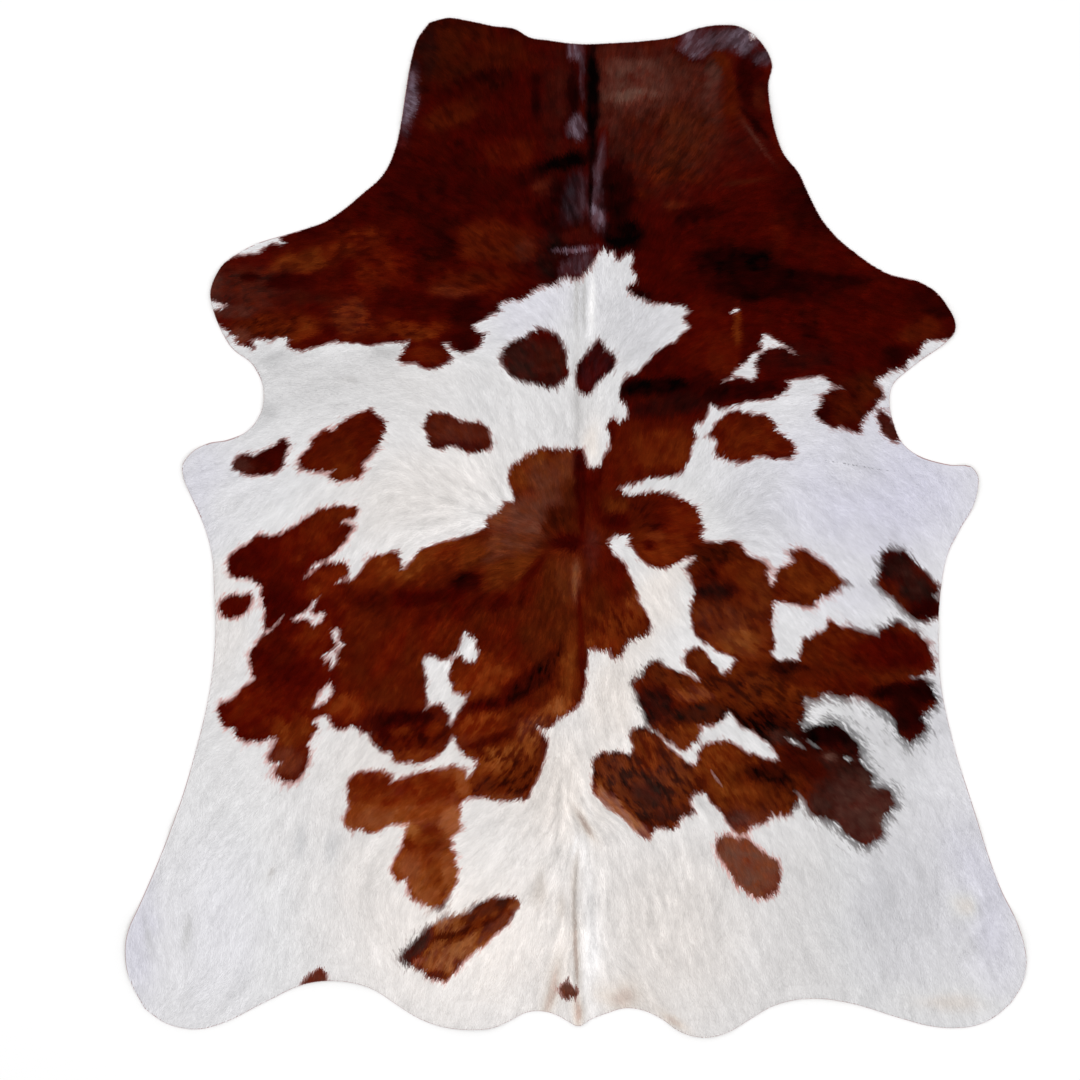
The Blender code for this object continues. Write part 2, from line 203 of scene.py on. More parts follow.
# Brown patches, each an outline: X and Y of its points by turns. Where one meets another they overlap.
Patch = namedtuple("Patch", "place outline")
BROWN_PATCHES = (
    Patch("neck and shoulders", (
        200, 318, 218, 325, 229, 330, 233, 338, 237, 345, 247, 348, 256, 350, 251, 340, 258, 340,
        272, 342, 277, 337, 284, 338, 289, 343, 287, 348, 294, 352, 303, 352, 316, 347, 325, 344,
        345, 343, 372, 345, 390, 343, 408, 341, 403, 350, 397, 360, 402, 363, 414, 363, 423, 367,
        434, 368, 443, 365, 452, 357, 448, 352, 443, 345, 448, 342, 452, 349, 463, 353, 473, 350,
        480, 345, 484, 335, 474, 330, 472, 326, 482, 320, 497, 310, 499, 303, 507, 300, 521, 300,
        531, 293, 540, 286, 551, 284, 560, 278, 575, 277, 585, 273, 592, 262, 598, 252, 604, 249,
        612, 252, 617, 258, 625, 256, 632, 250, 634, 260, 631, 268, 638, 277, 636, 283, 626, 287,
        633, 294, 641, 298, 650, 303, 665, 304, 680, 305, 692, 311, 683, 317, 692, 329, 681, 333,
        674, 343, 660, 350, 652, 355, 648, 362, 640, 372, 628, 375, 621, 384, 618, 397, 626, 400,
        629, 408, 627, 416, 622, 420, 610, 418, 606, 427, 611, 440, 608, 450, 601, 458, 600, 465,
        590, 466, 585, 470, 584, 640, 588, 651, 600, 651, 610, 652, 612, 658, 622, 657, 626, 646,
        636, 640, 648, 636, 651, 628, 648, 618, 643, 608, 639, 600, 636, 590, 632, 580, 628, 572,
        624, 564, 618, 558, 612, 554, 610, 546, 610, 538, 616, 533, 628, 534, 631, 544, 636, 554,
        640, 560, 650, 567, 660, 569, 667, 569, 677, 562, 687, 557, 697, 556, 705, 550, 705, 541,
        702, 535, 705, 525, 702, 517, 697, 507, 687, 500, 677, 496, 665, 492, 650, 492, 637, 494,
        627, 494, 618, 489, 628, 486, 637, 482, 646, 478, 660, 477, 672, 476, 683, 470, 688, 460,
        691, 449, 697, 436, 692, 428, 700, 422, 708, 415, 710, 405, 711, 401, 718, 409, 731, 406,
        745, 402, 755, 401, 775, 399, 784, 394, 791, 388, 787, 381, 797, 378, 806, 377, 820, 376,
        827, 378, 832, 384, 843, 388, 828, 390, 818, 396, 822, 402, 814, 413, 820, 421, 832, 429,
        840, 427, 850, 431, 860, 435, 863, 425, 864, 416, 873, 410, 876, 403, 884, 397, 881, 388,
        875, 384, 879, 378, 892, 371, 903, 368, 909, 360, 918, 355, 921, 345, 930, 340, 945, 340,
        990, 330, 990, 150, 850, -30, 330, -30, 150, 150, 150, 318,
    )),
    Patch("back and left flank", (
        583, 449, 575, 447, 562, 449, 549, 449, 540, 447, 532, 452, 523, 458, 513, 462, 509, 470,
        508, 480, 512, 490, 516, 499, 508, 502, 500, 505, 496, 513, 490, 518, 486, 521, 484, 527,
        476, 533, 464, 535, 452, 540, 440, 544, 424, 548, 416, 554, 412, 562, 402, 571, 400, 560,
        397, 553, 389, 552, 381, 556, 371, 557, 365, 563, 359, 573, 353, 582, 345, 580, 349, 573,
        348, 567, 343, 562, 335, 561, 325, 563, 317, 568, 309, 575, 303, 579, 309, 571, 317, 563,
        325, 560, 333, 554, 345, 543, 349, 535, 355, 529, 352, 524, 340, 524, 345, 521, 356, 517,
        358, 510, 356, 507, 345, 506, 333, 507, 317, 509, 313, 513, 305, 520, 293, 527, 285, 530,
        282, 535, 277, 534, 271, 537, 261, 533, 253, 537, 248, 545, 239, 548, 231, 554, 229, 559,
        228, 569, 231, 574, 238, 578, 247, 580, 257, 581, 260, 585, 263, 590, 261, 595, 261, 603,
        265, 613, 263, 621, 265, 629, 263, 636, 255, 645, 251, 650, 250, 657, 251, 665, 252, 675,
        255, 679, 250, 682, 243, 688, 238, 695, 231, 700, 223, 702, 218, 709, 218, 717, 224, 725,
        231, 730, 236, 737, 245, 742, 257, 742, 265, 741, 278, 740, 274, 745, 271, 750, 268, 756,
        270, 764, 276, 763, 283, 763, 277, 768, 273, 773, 278, 780, 285, 782, 293, 782, 298, 779,
        303, 773, 306, 767, 309, 758, 310, 752, 307, 745, 309, 740, 313, 735, 317, 728, 313, 723,
        312, 720, 318, 717, 324, 716, 328, 718, 333, 725, 333, 729, 338, 729, 345, 730, 349, 726,
        358, 728, 363, 733, 371, 735, 371, 742, 378, 748, 382, 752, 390, 754, 392, 759, 399, 764,
        408, 764, 416, 765, 424, 762, 434, 758, 442, 753, 445, 748, 449, 741, 451, 736, 454, 738,
        458, 747, 464, 753, 466, 758, 472, 761, 478, 760, 475, 768, 470, 775, 464, 782, 464, 794,
        470, 796, 478, 798, 490, 800, 500, 801, 510, 802, 520, 801, 528, 798, 532, 788, 537, 780,
        540, 772, 545, 760, 548, 747, 546, 739, 541, 733, 537, 725, 543, 727, 549, 730, 554, 723,
        561, 717, 570, 714, 576, 709, 582, 702, 584, 692, 586, 682, 587, 670, 588, 651, 596, 640,
        604, 600, 600, 480, 590, 473,
    )),
    Patch("right ribs and flank", (
        697, 557, 690, 550, 699, 539, 707, 543, 720, 542, 735, 542, 742, 545, 746, 556, 755, 559,
        765, 562, 770, 570, 768, 577, 771, 588, 775, 582, 777, 575, 785, 567, 794, 562, 792, 555,
        789, 549, 800, 549, 807, 551, 817, 559, 827, 565, 837, 575, 846, 585, 840, 591, 825, 595,
        817, 602, 815, 609, 805, 607, 795, 605, 777, 602, 774, 610, 772, 620, 772, 630, 775, 645,
        772, 655, 779, 661, 790, 660, 800, 660, 801, 650, 802, 640, 810, 637, 825, 630, 832, 621,
        840, 627, 850, 627, 860, 631, 870, 634, 877, 636, 882, 630, 892, 624, 900, 622, 910, 629,
        920, 636, 927, 642, 931, 655, 936, 667, 932, 672, 920, 675, 910, 679, 925, 680, 931, 685,
        934, 695, 937, 702, 930, 711, 922, 717, 926, 727, 922, 735, 911, 745, 897, 732, 895, 722,
        887, 712, 875, 705, 867, 699, 857, 695, 850, 699, 837, 696, 827, 694, 820, 697, 812, 700,
        805, 697, 805, 710, 803, 718, 802, 723, 804, 730, 806, 745, 804, 760, 790, 770, 781, 762,
        780, 758, 777, 755, 770, 744, 760, 737, 752, 731, 740, 726, 733, 719, 729, 712, 724, 719,
        719, 724, 710, 726, 701, 726, 701, 735, 699, 742, 690, 747, 682, 750, 676, 747, 670, 741,
        662, 735, 657, 731, 652, 729, 648, 722, 646, 715, 641, 707, 640, 702, 637, 692, 632, 684,
        642, 677, 645, 670, 650, 665, 657, 661, 663, 664, 671, 668, 683, 674, 694, 679, 701, 682,
        696, 675, 690, 672, 686, 668, 684, 660, 687, 653, 694, 648, 700, 647, 706, 653, 712, 662,
        718, 669, 722, 674, 730, 670, 735, 660, 730, 656, 718, 652, 710, 645, 702, 642, 696, 636,
        692, 626, 691, 617, 690, 608, 694, 599, 696, 589, 691, 579, 686, 568,
    )),
    Patch("right loin", (
        630, 732, 629, 740, 634, 747, 631, 756, 624, 755, 612, 751, 601, 754, 595, 759, 594, 767,
        592, 780, 592, 792, 601, 800, 607, 807, 617, 814, 626, 820, 632, 827, 641, 835, 651, 839,
        653, 832, 657, 827, 665, 829, 674, 830, 679, 825, 680, 820, 687, 816, 696, 811, 691, 805,
        689, 800, 692, 796, 700, 794, 712, 790, 712, 770, 697, 767, 687, 762, 679, 756, 671, 749,
        664, 741, 655, 734, 649, 729, 645, 726, 637, 727,
    )),
    Patch("right hip", (
        697, 753, 699, 759, 697, 766, 690, 775, 690, 790, 700, 794, 707, 795, 710, 801, 715, 807,
        724, 815, 727, 822, 732, 830, 740, 834, 747, 831, 752, 828, 762, 826, 767, 821, 780, 816,
        790, 814, 797, 806, 800, 800, 796, 791, 805, 799, 810, 810, 816, 817, 825, 819, 835, 822,
        841, 827, 845, 832, 852, 840, 862, 845, 867, 847, 874, 840, 882, 834, 881, 825, 884, 817,
        891, 810, 896, 805, 892, 797, 890, 790, 880, 789, 871, 786, 872, 775, 867, 770, 860, 762,
        861, 754, 859, 745, 850, 735, 840, 727, 830, 724, 820, 726, 811, 729, 806, 731, 797, 730,
        786, 748, 782, 760, 775, 762, 765, 759, 752, 756, 744, 751, 737, 746, 730, 742, 717, 741,
        709, 745, 705, 747,
    )),
    Patch("right thigh spot", (
        716, 845, 718, 840, 724, 836, 730, 837, 735, 839, 742, 836, 750, 839, 756, 845, 762, 852,
        771, 859, 779, 862, 780, 872, 779, 882, 777, 896, 767, 899, 757, 899, 752, 895, 742, 889,
        735, 884, 731, 875, 727, 867, 722, 860, 717, 852,
    )),
    Patch("left loin", (
        347, 792, 348, 782, 354, 775, 362, 771, 370, 770, 380, 771, 390, 774, 392, 779, 389, 784,
        396, 780, 404, 778, 414, 775, 424, 772, 434, 769, 446, 769, 450, 766, 458, 767, 466, 770,
        468, 777, 478, 782, 478, 795, 468, 797, 462, 802, 458, 806, 461, 812, 458, 820, 460, 828,
        452, 838, 450, 848, 457, 852, 455, 862, 458, 870, 456, 880, 452, 890, 448, 897, 442, 906,
        432, 909, 424, 906, 418, 901, 409, 899, 408, 892, 407, 880, 398, 882, 394, 875, 391, 869,
        395, 860, 400, 852, 402, 842, 405, 832, 407, 824, 398, 824, 388, 825, 382, 830, 376, 834,
        368, 834, 360, 831, 352, 831, 345, 828, 344, 820, 347, 812, 349, 804,
    )),
    Patch("left rump bar", (
        399, 960, 403, 954, 410, 945, 420, 935, 430, 927, 440, 922, 450, 917, 460, 916, 470, 912,
        478, 905, 490, 900, 500, 898, 510, 897, 520, 900, 520, 907, 513, 917, 506, 926, 496, 934,
        484, 944, 476, 952, 468, 958, 462, 966, 451, 976, 446, 982, 434, 981, 426, 976, 425, 970,
        416, 968, 406, 964,
    )),
    Patch("withers spot, left", (
        538, 328, 548, 331, 556, 335, 563, 341, 566, 350, 566, 362, 569, 372, 566, 380, 556, 384,
        547, 387, 539, 385, 531, 381, 519, 380, 509, 374, 502, 367, 500, 356, 503, 349, 513, 342,
        521, 339, 530, 332,
    )),
    Patch("withers spot, right", (
        600, 339, 605, 345, 609, 351, 615, 361, 612, 370, 603, 377, 596, 382, 592, 391, 587, 395,
        581, 391, 577, 382, 577, 374, 578, 364, 584, 357, 588, 352, 594, 344,
    )),
    Patch("left shoulder spot", (
        424, 420, 429, 413, 434, 412, 438, 415, 445, 413, 453, 416, 459, 421, 468, 422, 474, 423,
        481, 422, 488, 428, 491, 436, 495, 444, 490, 449, 481, 451, 472, 453, 462, 450, 455, 446,
        446, 447, 438, 449, 430, 447, 427, 440, 428, 435, 423, 427,
    )),
    Patch("left ribs spot", (
        371, 408, 376, 414, 384, 420, 385, 430, 381, 441, 375, 449, 367, 459, 361, 465, 363, 473,
        357, 480, 350, 480, 340, 484, 332, 481, 329, 476, 333, 471, 322, 474, 312, 471, 298, 469,
        298, 462, 303, 453, 310, 447, 313, 438, 322, 432, 332, 430, 342, 421, 353, 415, 364, 412,
    )),
    Patch("left brisket spot", (
        286, 438, 289, 444, 284, 452, 284, 461, 280, 470, 272, 475, 262, 475, 254, 476, 245, 475,
        239, 470, 233, 468, 234, 461, 241, 455, 252, 458, 262, 452, 270, 448, 279, 441,
    )),
    Patch("left belly spot", (
        218, 606, 223, 600, 231, 596, 241, 594, 249, 592, 252, 595, 252, 603, 248, 609, 241, 615,
        231, 619, 224, 617, 219, 612,
    )),
    Patch("right shoulder spot", (
        707, 435, 716, 424, 726, 414, 738, 411, 752, 414, 766, 415, 774, 422, 776, 430, 786, 437,
        794, 446, 796, 453, 790, 458, 775, 459, 765, 455, 757, 457, 748, 463, 738, 462, 728, 461,
        718, 455, 714, 447, 718, 440, 710, 437,
    )),
    Patch("right elbow", (
        879, 409, 886, 412, 893, 420, 898, 433, 904, 441, 896, 443, 889, 439, 881, 430, 878, 418,
    )),
    Patch("right belly spot", (
        882, 554, 887, 550, 895, 552, 902, 550, 910, 557, 917, 565, 925, 572, 932, 580, 942, 587,
        937, 595, 942, 605, 939, 616, 930, 621, 920, 621, 910, 617, 902, 609, 895, 600, 885, 592,
        877, 584, 879, 570, 881, 561,
    )),
    Patch("spot above the tail", (
        567, 981, 575, 987, 580, 992, 575, 998, 571, 1002, 565, 999, 560, 994, 557, 990, 562, 985,
    )),
    Patch("spot at the hem", (
        307, 976, 312, 971, 320, 968, 325, 971, 328, 978, 330, 990, 300, 992, 302, 982,
    )),
)

# White gaps inside those patches.
WHITE_GAPS = (
    Patch("sliver at the left foreleg", (
        214, 258, 222, 250, 240, 236, 262, 232, 280, 236, 284, 243, 272, 244, 264, 248, 257, 255,
        247, 255, 236, 256, 228, 258,
    )),
    Patch("nick at the left foreleg", (204, 299, 216, 302, 228, 308, 220, 311, 204, 310)),
    Patch("crack on the right shoulder", (
        763, 335, 768, 333, 773, 339, 783, 343, 790, 350, 795, 355, 786, 349, 776, 347, 768, 348,
        760, 355, 756, 365, 757, 375, 753, 381, 744, 378, 735, 376, 728, 380, 722, 383, 728, 377,
        733, 370, 742, 367, 749, 360, 753, 353, 760, 350, 763, 342,
    )),
    Patch("fleck on the right shoulder", (731, 312, 735, 308, 740, 310, 736, 313)),
    Patch("fleck at the right neck corner", (749, 33, 756, 34, 758, 39, 751, 39)),
    Patch("hole in the left flank", (
        465, 631, 470, 637, 476, 642, 477, 650, 480, 654, 477, 660, 471, 665, 464, 661, 460, 657,
        453, 661, 450, 667, 448, 676, 452, 686, 453, 693, 462, 694, 466, 698, 462, 708, 456, 716,
        450, 727, 448, 722, 449, 715, 443, 706, 434, 704, 426, 709, 426, 698, 424, 686, 426, 674,
        422, 662, 424, 657, 436, 658, 440, 661, 448, 659, 454, 654, 460, 646, 462, 636,
    )),
    Patch("first crack in the left flank", (
        291, 620, 300, 614, 306, 612, 311, 603, 317, 598, 311, 608, 310, 614, 323, 616, 324, 622,
        313, 626, 307, 622, 298, 619,
    )),
    Patch("second crack in the left flank", (
        332, 630, 338, 628, 340, 634, 339, 641, 344, 645, 338, 650, 337, 663, 333, 667, 332, 659,
        325, 662, 323, 657, 331, 653, 336, 646, 333, 637,
    )),
    Patch("third crack in the left flank", (
        330, 682, 334, 690, 330, 697, 326, 704, 313, 709, 317, 701, 318, 694, 324, 688,
    )),
    Patch("line on the left flank", (
        264, 633, 272, 628, 279, 621, 282, 617, 281, 621, 274, 628, 266, 635,
    )),
    Patch("branch on the left flank", (345, 579, 340, 581, 334, 584, 341, 583, 347, 582)),
    Patch("nick in the right belly spot", (931, 594, 938, 596, 942, 603, 937, 600)),
    Patch("wisp above the right hip", (786, 738, 793, 740, 800, 744, 807, 749, 799, 746, 791, 742)),
    Patch("second wisp above the right hip", (808, 742, 815, 744, 822, 749, 814, 746)),
    Patch("line on the right hip", (712, 771, 716, 775, 722, 784, 718, 780, 713, 775)),
    Patch("fleck on the right hip", (846, 758, 849, 756, 852, 760, 848, 762)),
)

# What the brown is like, as soft ovals laid over one another in this order: the middle, the reach along
# and across, the turn as degrees against the clock, the tone from 0, black, to 1, pale ginger, how far
# it turns from red to olive, what lies on it, above 0 a taupe bloom and below 0 a painted lavender
# sheen where light glances off the dark hair, and how strongly small dark flecks break it up. Of these
# last three, those left out at a row's end are 0.
Hue = namedtuple("Hue", "place x y along across turn tone olive bloom flecks", defaults=(0, 0, 0))
HUES = rows_of(
    Hue,
    ("neck", (480, 150, 210, 190, 0, 0.27, 0, 0, 0.06)),
    ("right shoulder", (790, 300, 230, 130, 0, 0.31, 0, 0, 0.06)),
    ("back", (500, 620, 200, 190, 0, 0.5, 0.5, 0, 0.08)),
    ("left flank", (275, 640, 85, 160, 0, 0.46, 0, 0, 0.08)),
    ("right ribs", (800, 650, 190, 120, 0, 0.5, 0.7, 0, 0.15)),
    ("right hip", (740, 790, 190, 90, 0, 0.55, 0.8, 0, 0.2)),
    ("left loin", (410, 830, 80, 90, 0, 0.8, 0.3, -0.06, 0.08)),
    ("left rump bar", (455, 935, 70, 50, 35, 0.74, 0.9, -0.04, 0.35)),
    # neck, left of the parting
    ("left neck corner", (450, 52, 50, 34, 0, 0.28, 0.8, 0, 0.08),
     (424, 52, 12, 26, 0, 0.14, 0.5, 0.03, 0.05)),
    ("left neck", (496, 50, 40, 18, -8, 0.31, 0.5, 0, 0.08), (474, 84, 34, 12, 10, 0.2, 0.1, 0, 0.06),
     (452, 112, 30, 12, 25, 0.37, 0.6, 0, 0.1), (510, 150, 28, 18, 10, 0.4, 0.35, 0, 0.06),
     (440, 196, 50, 34, 0, 0.23, 0, 0, 0.04)),
    ("sheen at the left neck edge", (409, 99, 6.5, 27, -11, 0.28, 0.2, -0.7, 0.05)),
    ("beside the parting", (560, 100, 22, 56, 0, 0.24, 0.1, 0.02, 0.05)),
    ("wisp off the parting", (522, 180, 30, 8, 28, 0.2)),
    ("fleck below the wisp", (547, 188, 14, 9, 0, 0.6, 0.9, 0.1)),
    ("left withers", (562, 215, 26, 40, 0, 0.12, 0.1, 0, 0.05),
     (548, 258, 16, 22, -20, 0.06, 0, 0.04, 0.05)),
    # Painted sheen: the lavender in these rows stands for bluish light glancing off the dark hair by the
    # parting.
    ("dark tufts and painted sheen by the parting", (576, 52, 8, 9, 0, 0.38, 0, -0.66), (582, 78, 3, 24, 0, 0.16, 0, -0.22),
     (576, 127, 9, 11, 0, 0.22, 0, -0.72), (570, 202, 8, 26, -8, 0.1, 0, -0.08),
     (581, 196, 5.5, 22, 0, 0.18, 0, -0.14), (603, 146, 5.5, 24, -8, 0.28, 0, -0.55),
     (597, 184, 6, 18, 8, 0.26, 0, -0.36), (596, 215, 6, 13, 20, 0.44, 0, -1)),
    ("red by the parting", (578, 235, 18, 7, 0, 0.32, 0, 0.03)),
    # Painted sheen: a faint lavender reflection on the dark hair below the parting.
    ("left withers", (576, 264, 18, 9, 20, 0.26, 0, -0.2)),
    ("left shoulder", (494, 242, 42, 24, 0, 0.46, 0.5, 0, 0.12),
     (526, 250, 9, 12, -20, 0.42, 0.6, 0.08, 0.1), (436, 246, 22, 24, 0, 0.14, 0, 0, 0.04),
     (404, 232, 26, 18, 0, 0.26, 0, 0, 0.06), (358, 244, 30, 14, 10, 0.47, 0.4, 0, 0.18),
     (384, 274, 34, 24, 20, 0.45, 0.3, 0, 0.16), (424, 274, 12, 9, 0, 0.26, 0, 0, 0.05),
     (470, 282, 38, 14, 0, 0.44, 0.5, 0, 0.16), (450, 292, 22, 6, 0, 0.6, 0.5, 0.05, 0.1),
     (410, 300, 36, 9, -4, 0.26, 0, 0, 0.05), (464, 316, 20, 18, 20, 0.14),
     (464, 340, 12, 14, 0, 0.17, 0.1), (350, 318, 22, 20, 0, 0.55, 0.4, 0.04, 0.26),
     (412, 330, 36, 10, 0, 0.53, 0.5, 0, 0.26), (424, 354, 22, 9, 0, 0.5, 0.4, 0, 0.05)),
    ("left foreleg", (296, 266, 36, 15, 15, 0.62, 0.9, 0, 0.18),
     (252, 288, 46, 22, 0, 0.35, 0.3, 0.09, 0.26), (214, 284, 9, 16, 0, 0.36, 0.3, 0.22, 0.15),
     (250, 277, 9, 5, 0, 0.18), (290, 283, 26, 9, 0, 0.2), (300, 300, 30, 6, 0, 0.3, 0.3, 0.02),
     (230, 312, 22, 6, 0, 0.38, 0.3, 0.24, 0.05), (276, 326, 46, 12, 0, 0.43, 0.6, 0, 0.28),
     (304, 334, 16, 7, 20, 0.65, 0.5), (330, 331, 8, 7, 20, 0.3), (240, 336, 10, 7, 0, 0.56, 0.4, 0.24)),
    # neck, right of the parting
    ("right neck", (660, 108, 70, 66, 0, 0.35, 0.4, 0.14, 0.08),
     (630, 82, 30, 24, 0, 0.42, 0.2, 0.3, 0.08), (632, 95, 24, 5, 3, 0.5, 0, 0.8, 0.05),
     (638, 68, 20, 7, -4, 0.44, 0.1, 0.4, 0.05), (645, 52, 50, 6, 0, 0.33, 0.2, 0.1, 0.05),
     # Painted sheen: the lavender rows at the top of the neck stand for a bluish reflection off the dark
     # hair.
     (698, 44, 16, 13, 0, 0.36, 0.2, -0.5, 0.05), (722, 40, 16, 12, 0, 0.24, 0.6, -0.24, 0.05)),
    # Painted sheen: a bluish reflection at the neck's top right corner, painted as lavender.
    ("right neck corner", (742, 40, 13, 12, -20, 0.24, 0.2, -0.62), (762, 58, 9, 7, 20, 0.18, 0, -0.24)),
    ("right neck", (712, 82, 8, 26, -6, 0.32, 0.2, 0.24, 0.05),
     (680, 138, 40, 34, 20, 0.39, 0.8, 0.05, 0.12), (640, 134, 22, 22, 0, 0.3, 0.4, 0.05, 0.08),
     (742, 150, 24, 18, 0, 0.3, 0, 0.03, 0.05), (668, 172, 32, 9, -10, 0.39, 0.6, 0.02, 0.2),
     (744, 182, 20, 2.6, 8, 0.36, 0.5, 0.03), (640, 194, 9, 5, 0, 0.36, 0.5),
     (676, 204, 14, 4, 0, 0.42, 0.4, 0.04)),
    ("right shoulder", (698, 214, 22, 10, 0, 0.17), (668, 262, 26, 34, 0, 0.33, 0, 0, 0.06),
     (784, 234, 26, 18, -20, 0.4, 0.1, 0, 0.06), (805, 200, 24, 40, 0, 0.17, 0, 0, 0.04),
     (800, 266, 30, 8, -10, 0.36), (812, 290, 40, 14, -4, 0.13),
     (870, 312, 40, 26, -15, 0.31, 0, 0, 0.06), (932, 300, 20, 14, -5, 0.22),
     (744, 268, 50, 24, -6, 0.17, 0, 0, 0.05), (938, 314, 14, 4, -10, 0.12),
     (702, 336, 40, 34, 20, 0.4, 0, 0, 0.06), (722, 360, 14, 24, 0, 0.47, 0.3, 0, 0.05),
     (640, 293, 14, 6, -30, 0.12), (661, 356, 18, 10, 30, 0.27, 0, 0, 0.05),
     (810, 326, 8, 18, 0, 0.19, 0, 0, 0.1), (796, 358, 40, 12, 0, 0.2, 0, 0.02, 0.05)),
    ("right foreleg", (920, 332, 22, 13, 20, 0.46, 0.5, 0, 0.06), (896, 356, 18, 10, 20, 0.16),
     (866, 386, 20, 14, 0, 0.35, 0.7, 0, 0.12), (846, 408, 22, 16, 0, 0.33, 0.6, 0, 0.14),
     (824, 412, 7, 12, 0, 0.22, 0.2)),
    ("dark band right of the withers", (740, 391, 44, 10, 4, 0.14, 0, 0, 0.05),
     (672, 406, 42, 11, 6, 0.18, 0.1, 0.02, 0.05)),
    ("right of the withers", (652, 428, 44, 10, 0, 0.42, 0.3, 0, 0.06),
     (662, 452, 38, 18, 0, 0.61, 0.5, 0, 0.06), (620, 456, 16, 24, 0, 0.5, 0.4, 0, 0.06)),
    # the back
    ("top of the back", (528, 466, 26, 18, 30, 0.65, 0.9, 0, 0.06),
     (566, 466, 14, 18, 0, 0.64, 0.9, 0.1, 0.05), (548, 484, 16, 22, 40, 0.54, 1, 0.2, 0.04)),
    ("middle of the back", (568, 494, 14, 16, 0, 0.42, 1, 0, 0.06)),
    ("left of the back", (502, 516, 18, 12, 45, 0.68, 0.7, 0.22, 0.04),
     (526, 522, 34, 20, 45, 0.59, 0.8, 0.3, 0.04), (504, 545, 26, 12, 30, 0.61, 0.9, 0.2, 0.06)),
    ("middle of the back", (556, 518, 15, 14, 0, 0.36, 0.8, 0, 0.08), (573, 528, 9, 9, 0, 0.44, 0.9)),
    ("right of the spine", (594, 490, 10, 28, 0, 0.36, 0, 0, 0.04),
     (592, 550, 9, 24, 0, 0.44, 0.1, 0.1, 0.06)),
    ("left of the back", (508, 570, 30, 14, 30, 0.58, 1, 0, 0.06),
     (470, 556, 16, 14, 40, 0.59, 0.8, 0, 0.06), (444, 550, 26, 10, 25, 0.68, 0.3, 0, 0.04),
     (413, 566, 18, 12, 35, 0.68, 0.8, 0, 0.06), (378, 568, 24, 14, 10, 0.67, 0.4, 0, 0.04)),
    ("dark on the left of the back", (467, 585, 16, 10, 10, 0.14, 0.1, 0, 0.05),
     (424, 598, 42, 10, 5, 0.32, 0, 0, 0.08), (378, 602, 22, 9, 5, 0.35, 0.3, 0, 0.08),
     (447, 618, 26, 12, 10, 0.42, 0.2, 0, 0.06), (500, 602, 34, 12, 5, 0.35, 0.2, 0, 0.06)),
    ("middle of the back", (556, 605, 20, 40, 0, 0.46, 1, 0, 0.08),
     (566, 582, 9, 22, 0, 0.55, 1, 0.04, 0.06)),
    ("red wisp on the back", (532, 572, 24, 5, 52, 0.38, 0.1)),
    ("middle of the back", (508, 640, 34, 18, 0, 0.5, 0.2, 0, 0.05),
     (536, 642, 18, 22, 0, 0.48, 0.9, 0, 0.06), (482, 678, 34, 16, 10, 0.69, 0, 0, 0.05)),
    ("left of the back", (440, 640, 22, 16, 30, 0.56, 0.2, 0, 0.06),
     (356, 650, 20, 40, 0, 0.5, 0.5, 0, 0.06), (392, 650, 38, 8, 62, 0.57, 0, 0, 0.03),
     (404, 690, 20, 28, 0, 0.53, 0.5, 0, 0.05), (370, 690, 16, 14, 0, 0.5, 0.5, 0, 0.05),
     (345, 708, 22, 14, 0, 0.72, 0.1, 0, 0.04)),
    ("ginger by the spine", (568, 668, 10, 34, 0, 0.64, 0.8, 0, 0.08),
     (558, 706, 18, 10, 30, 0.84, 0.4, 0.02, 0.08)),
    ("dark wisp on the back", (548, 666, 20, 9, 60, 0.22, 0.8, 0, 0.3),
     (522, 688, 30, 9, 30, 0.22, 0.3, 0, 0.2), (480, 705, 30, 5, 5, 0.32, 0.1, 0, 0.2)),
    ("tail of the back patch", (482, 724, 28, 12, 10, 0.7, 0, 0, 0.14),
     (535, 730, 18, 14, 30, 0.74, 0.6, 0.14, 0.34), (508, 756, 34, 14, 20, 0.72, 0.6, 0.02, 0.36),
     (492, 739, 26, 4, 22, 0.38, 0.2, 0, 0.1), (520, 780, 26, 20, 10, 0.47, 0.7, 0, 0.44),
     (478, 786, 14, 12, 0, 0.44, 0.7, 0.04, 0.4)),
    ("dark edge of the tail", (546, 742, 5, 20, -14, 0.42, 0.4, 0.06, 0.1),
     (500, 797, 26, 4, 0, 0.7, 0.6, 0.1, 0.1)),
    ("round patch", (410, 738, 42, 24, 0, 0.39, 0.3, 0, 0.24), (384, 732, 10, 10, -40, 0.24, 0, 0, 0.08),
     (432, 731, 10, 8, 0, 0.6, 0.2, 0, 0.05), (400, 732, 12, 5, 0, 0.58, 0.5, 0, 0.1),
     (412, 757, 26, 6, 0, 0.64, 0.4, 0.04, 0.1)),
    # right lobe of the back
    ("right lobe of the back", (608, 580, 16, 28, -20, 0.42, 0.1, 0, 0.06),
     (600, 606, 12, 20, 0, 0.5, 0.7, 0, 0.1), (634, 606, 10, 16, -20, 0.68, 0.6, 0.03, 0.1),
     (622, 622, 20, 12, 0, 0.58, 0.6, 0, 0.26), (604, 642, 22, 11, 0, 0.67, 0.4, 0, 0.1)),
    ("right of the spine", (616, 504, 14, 9, 0, 0.52, 0.9, 0, 0.08),
     (616, 522, 16, 8, 0, 0.32, 0.1, 0, 0.04), (650, 513, 18, 16, 0, 0.33, 0.4, 0, 0.18),
     (684, 522, 20, 28, 0, 0.56, 0.2, 0, 0.06), (656, 536, 9, 6, 0, 0.64, 0.5, 0.03),
     (666, 554, 28, 11, 0, 0.61, 0.4, 0, 0.08), (649, 546, 5, 5, 0, 0.3, 0.2)),
    # the left flank
    ("left flank", (256, 560, 30, 20, 20, 0.37, 0, 0, 0.04), (304, 546, 28, 18, 40, 0.53, 0.1, 0, 0.06),
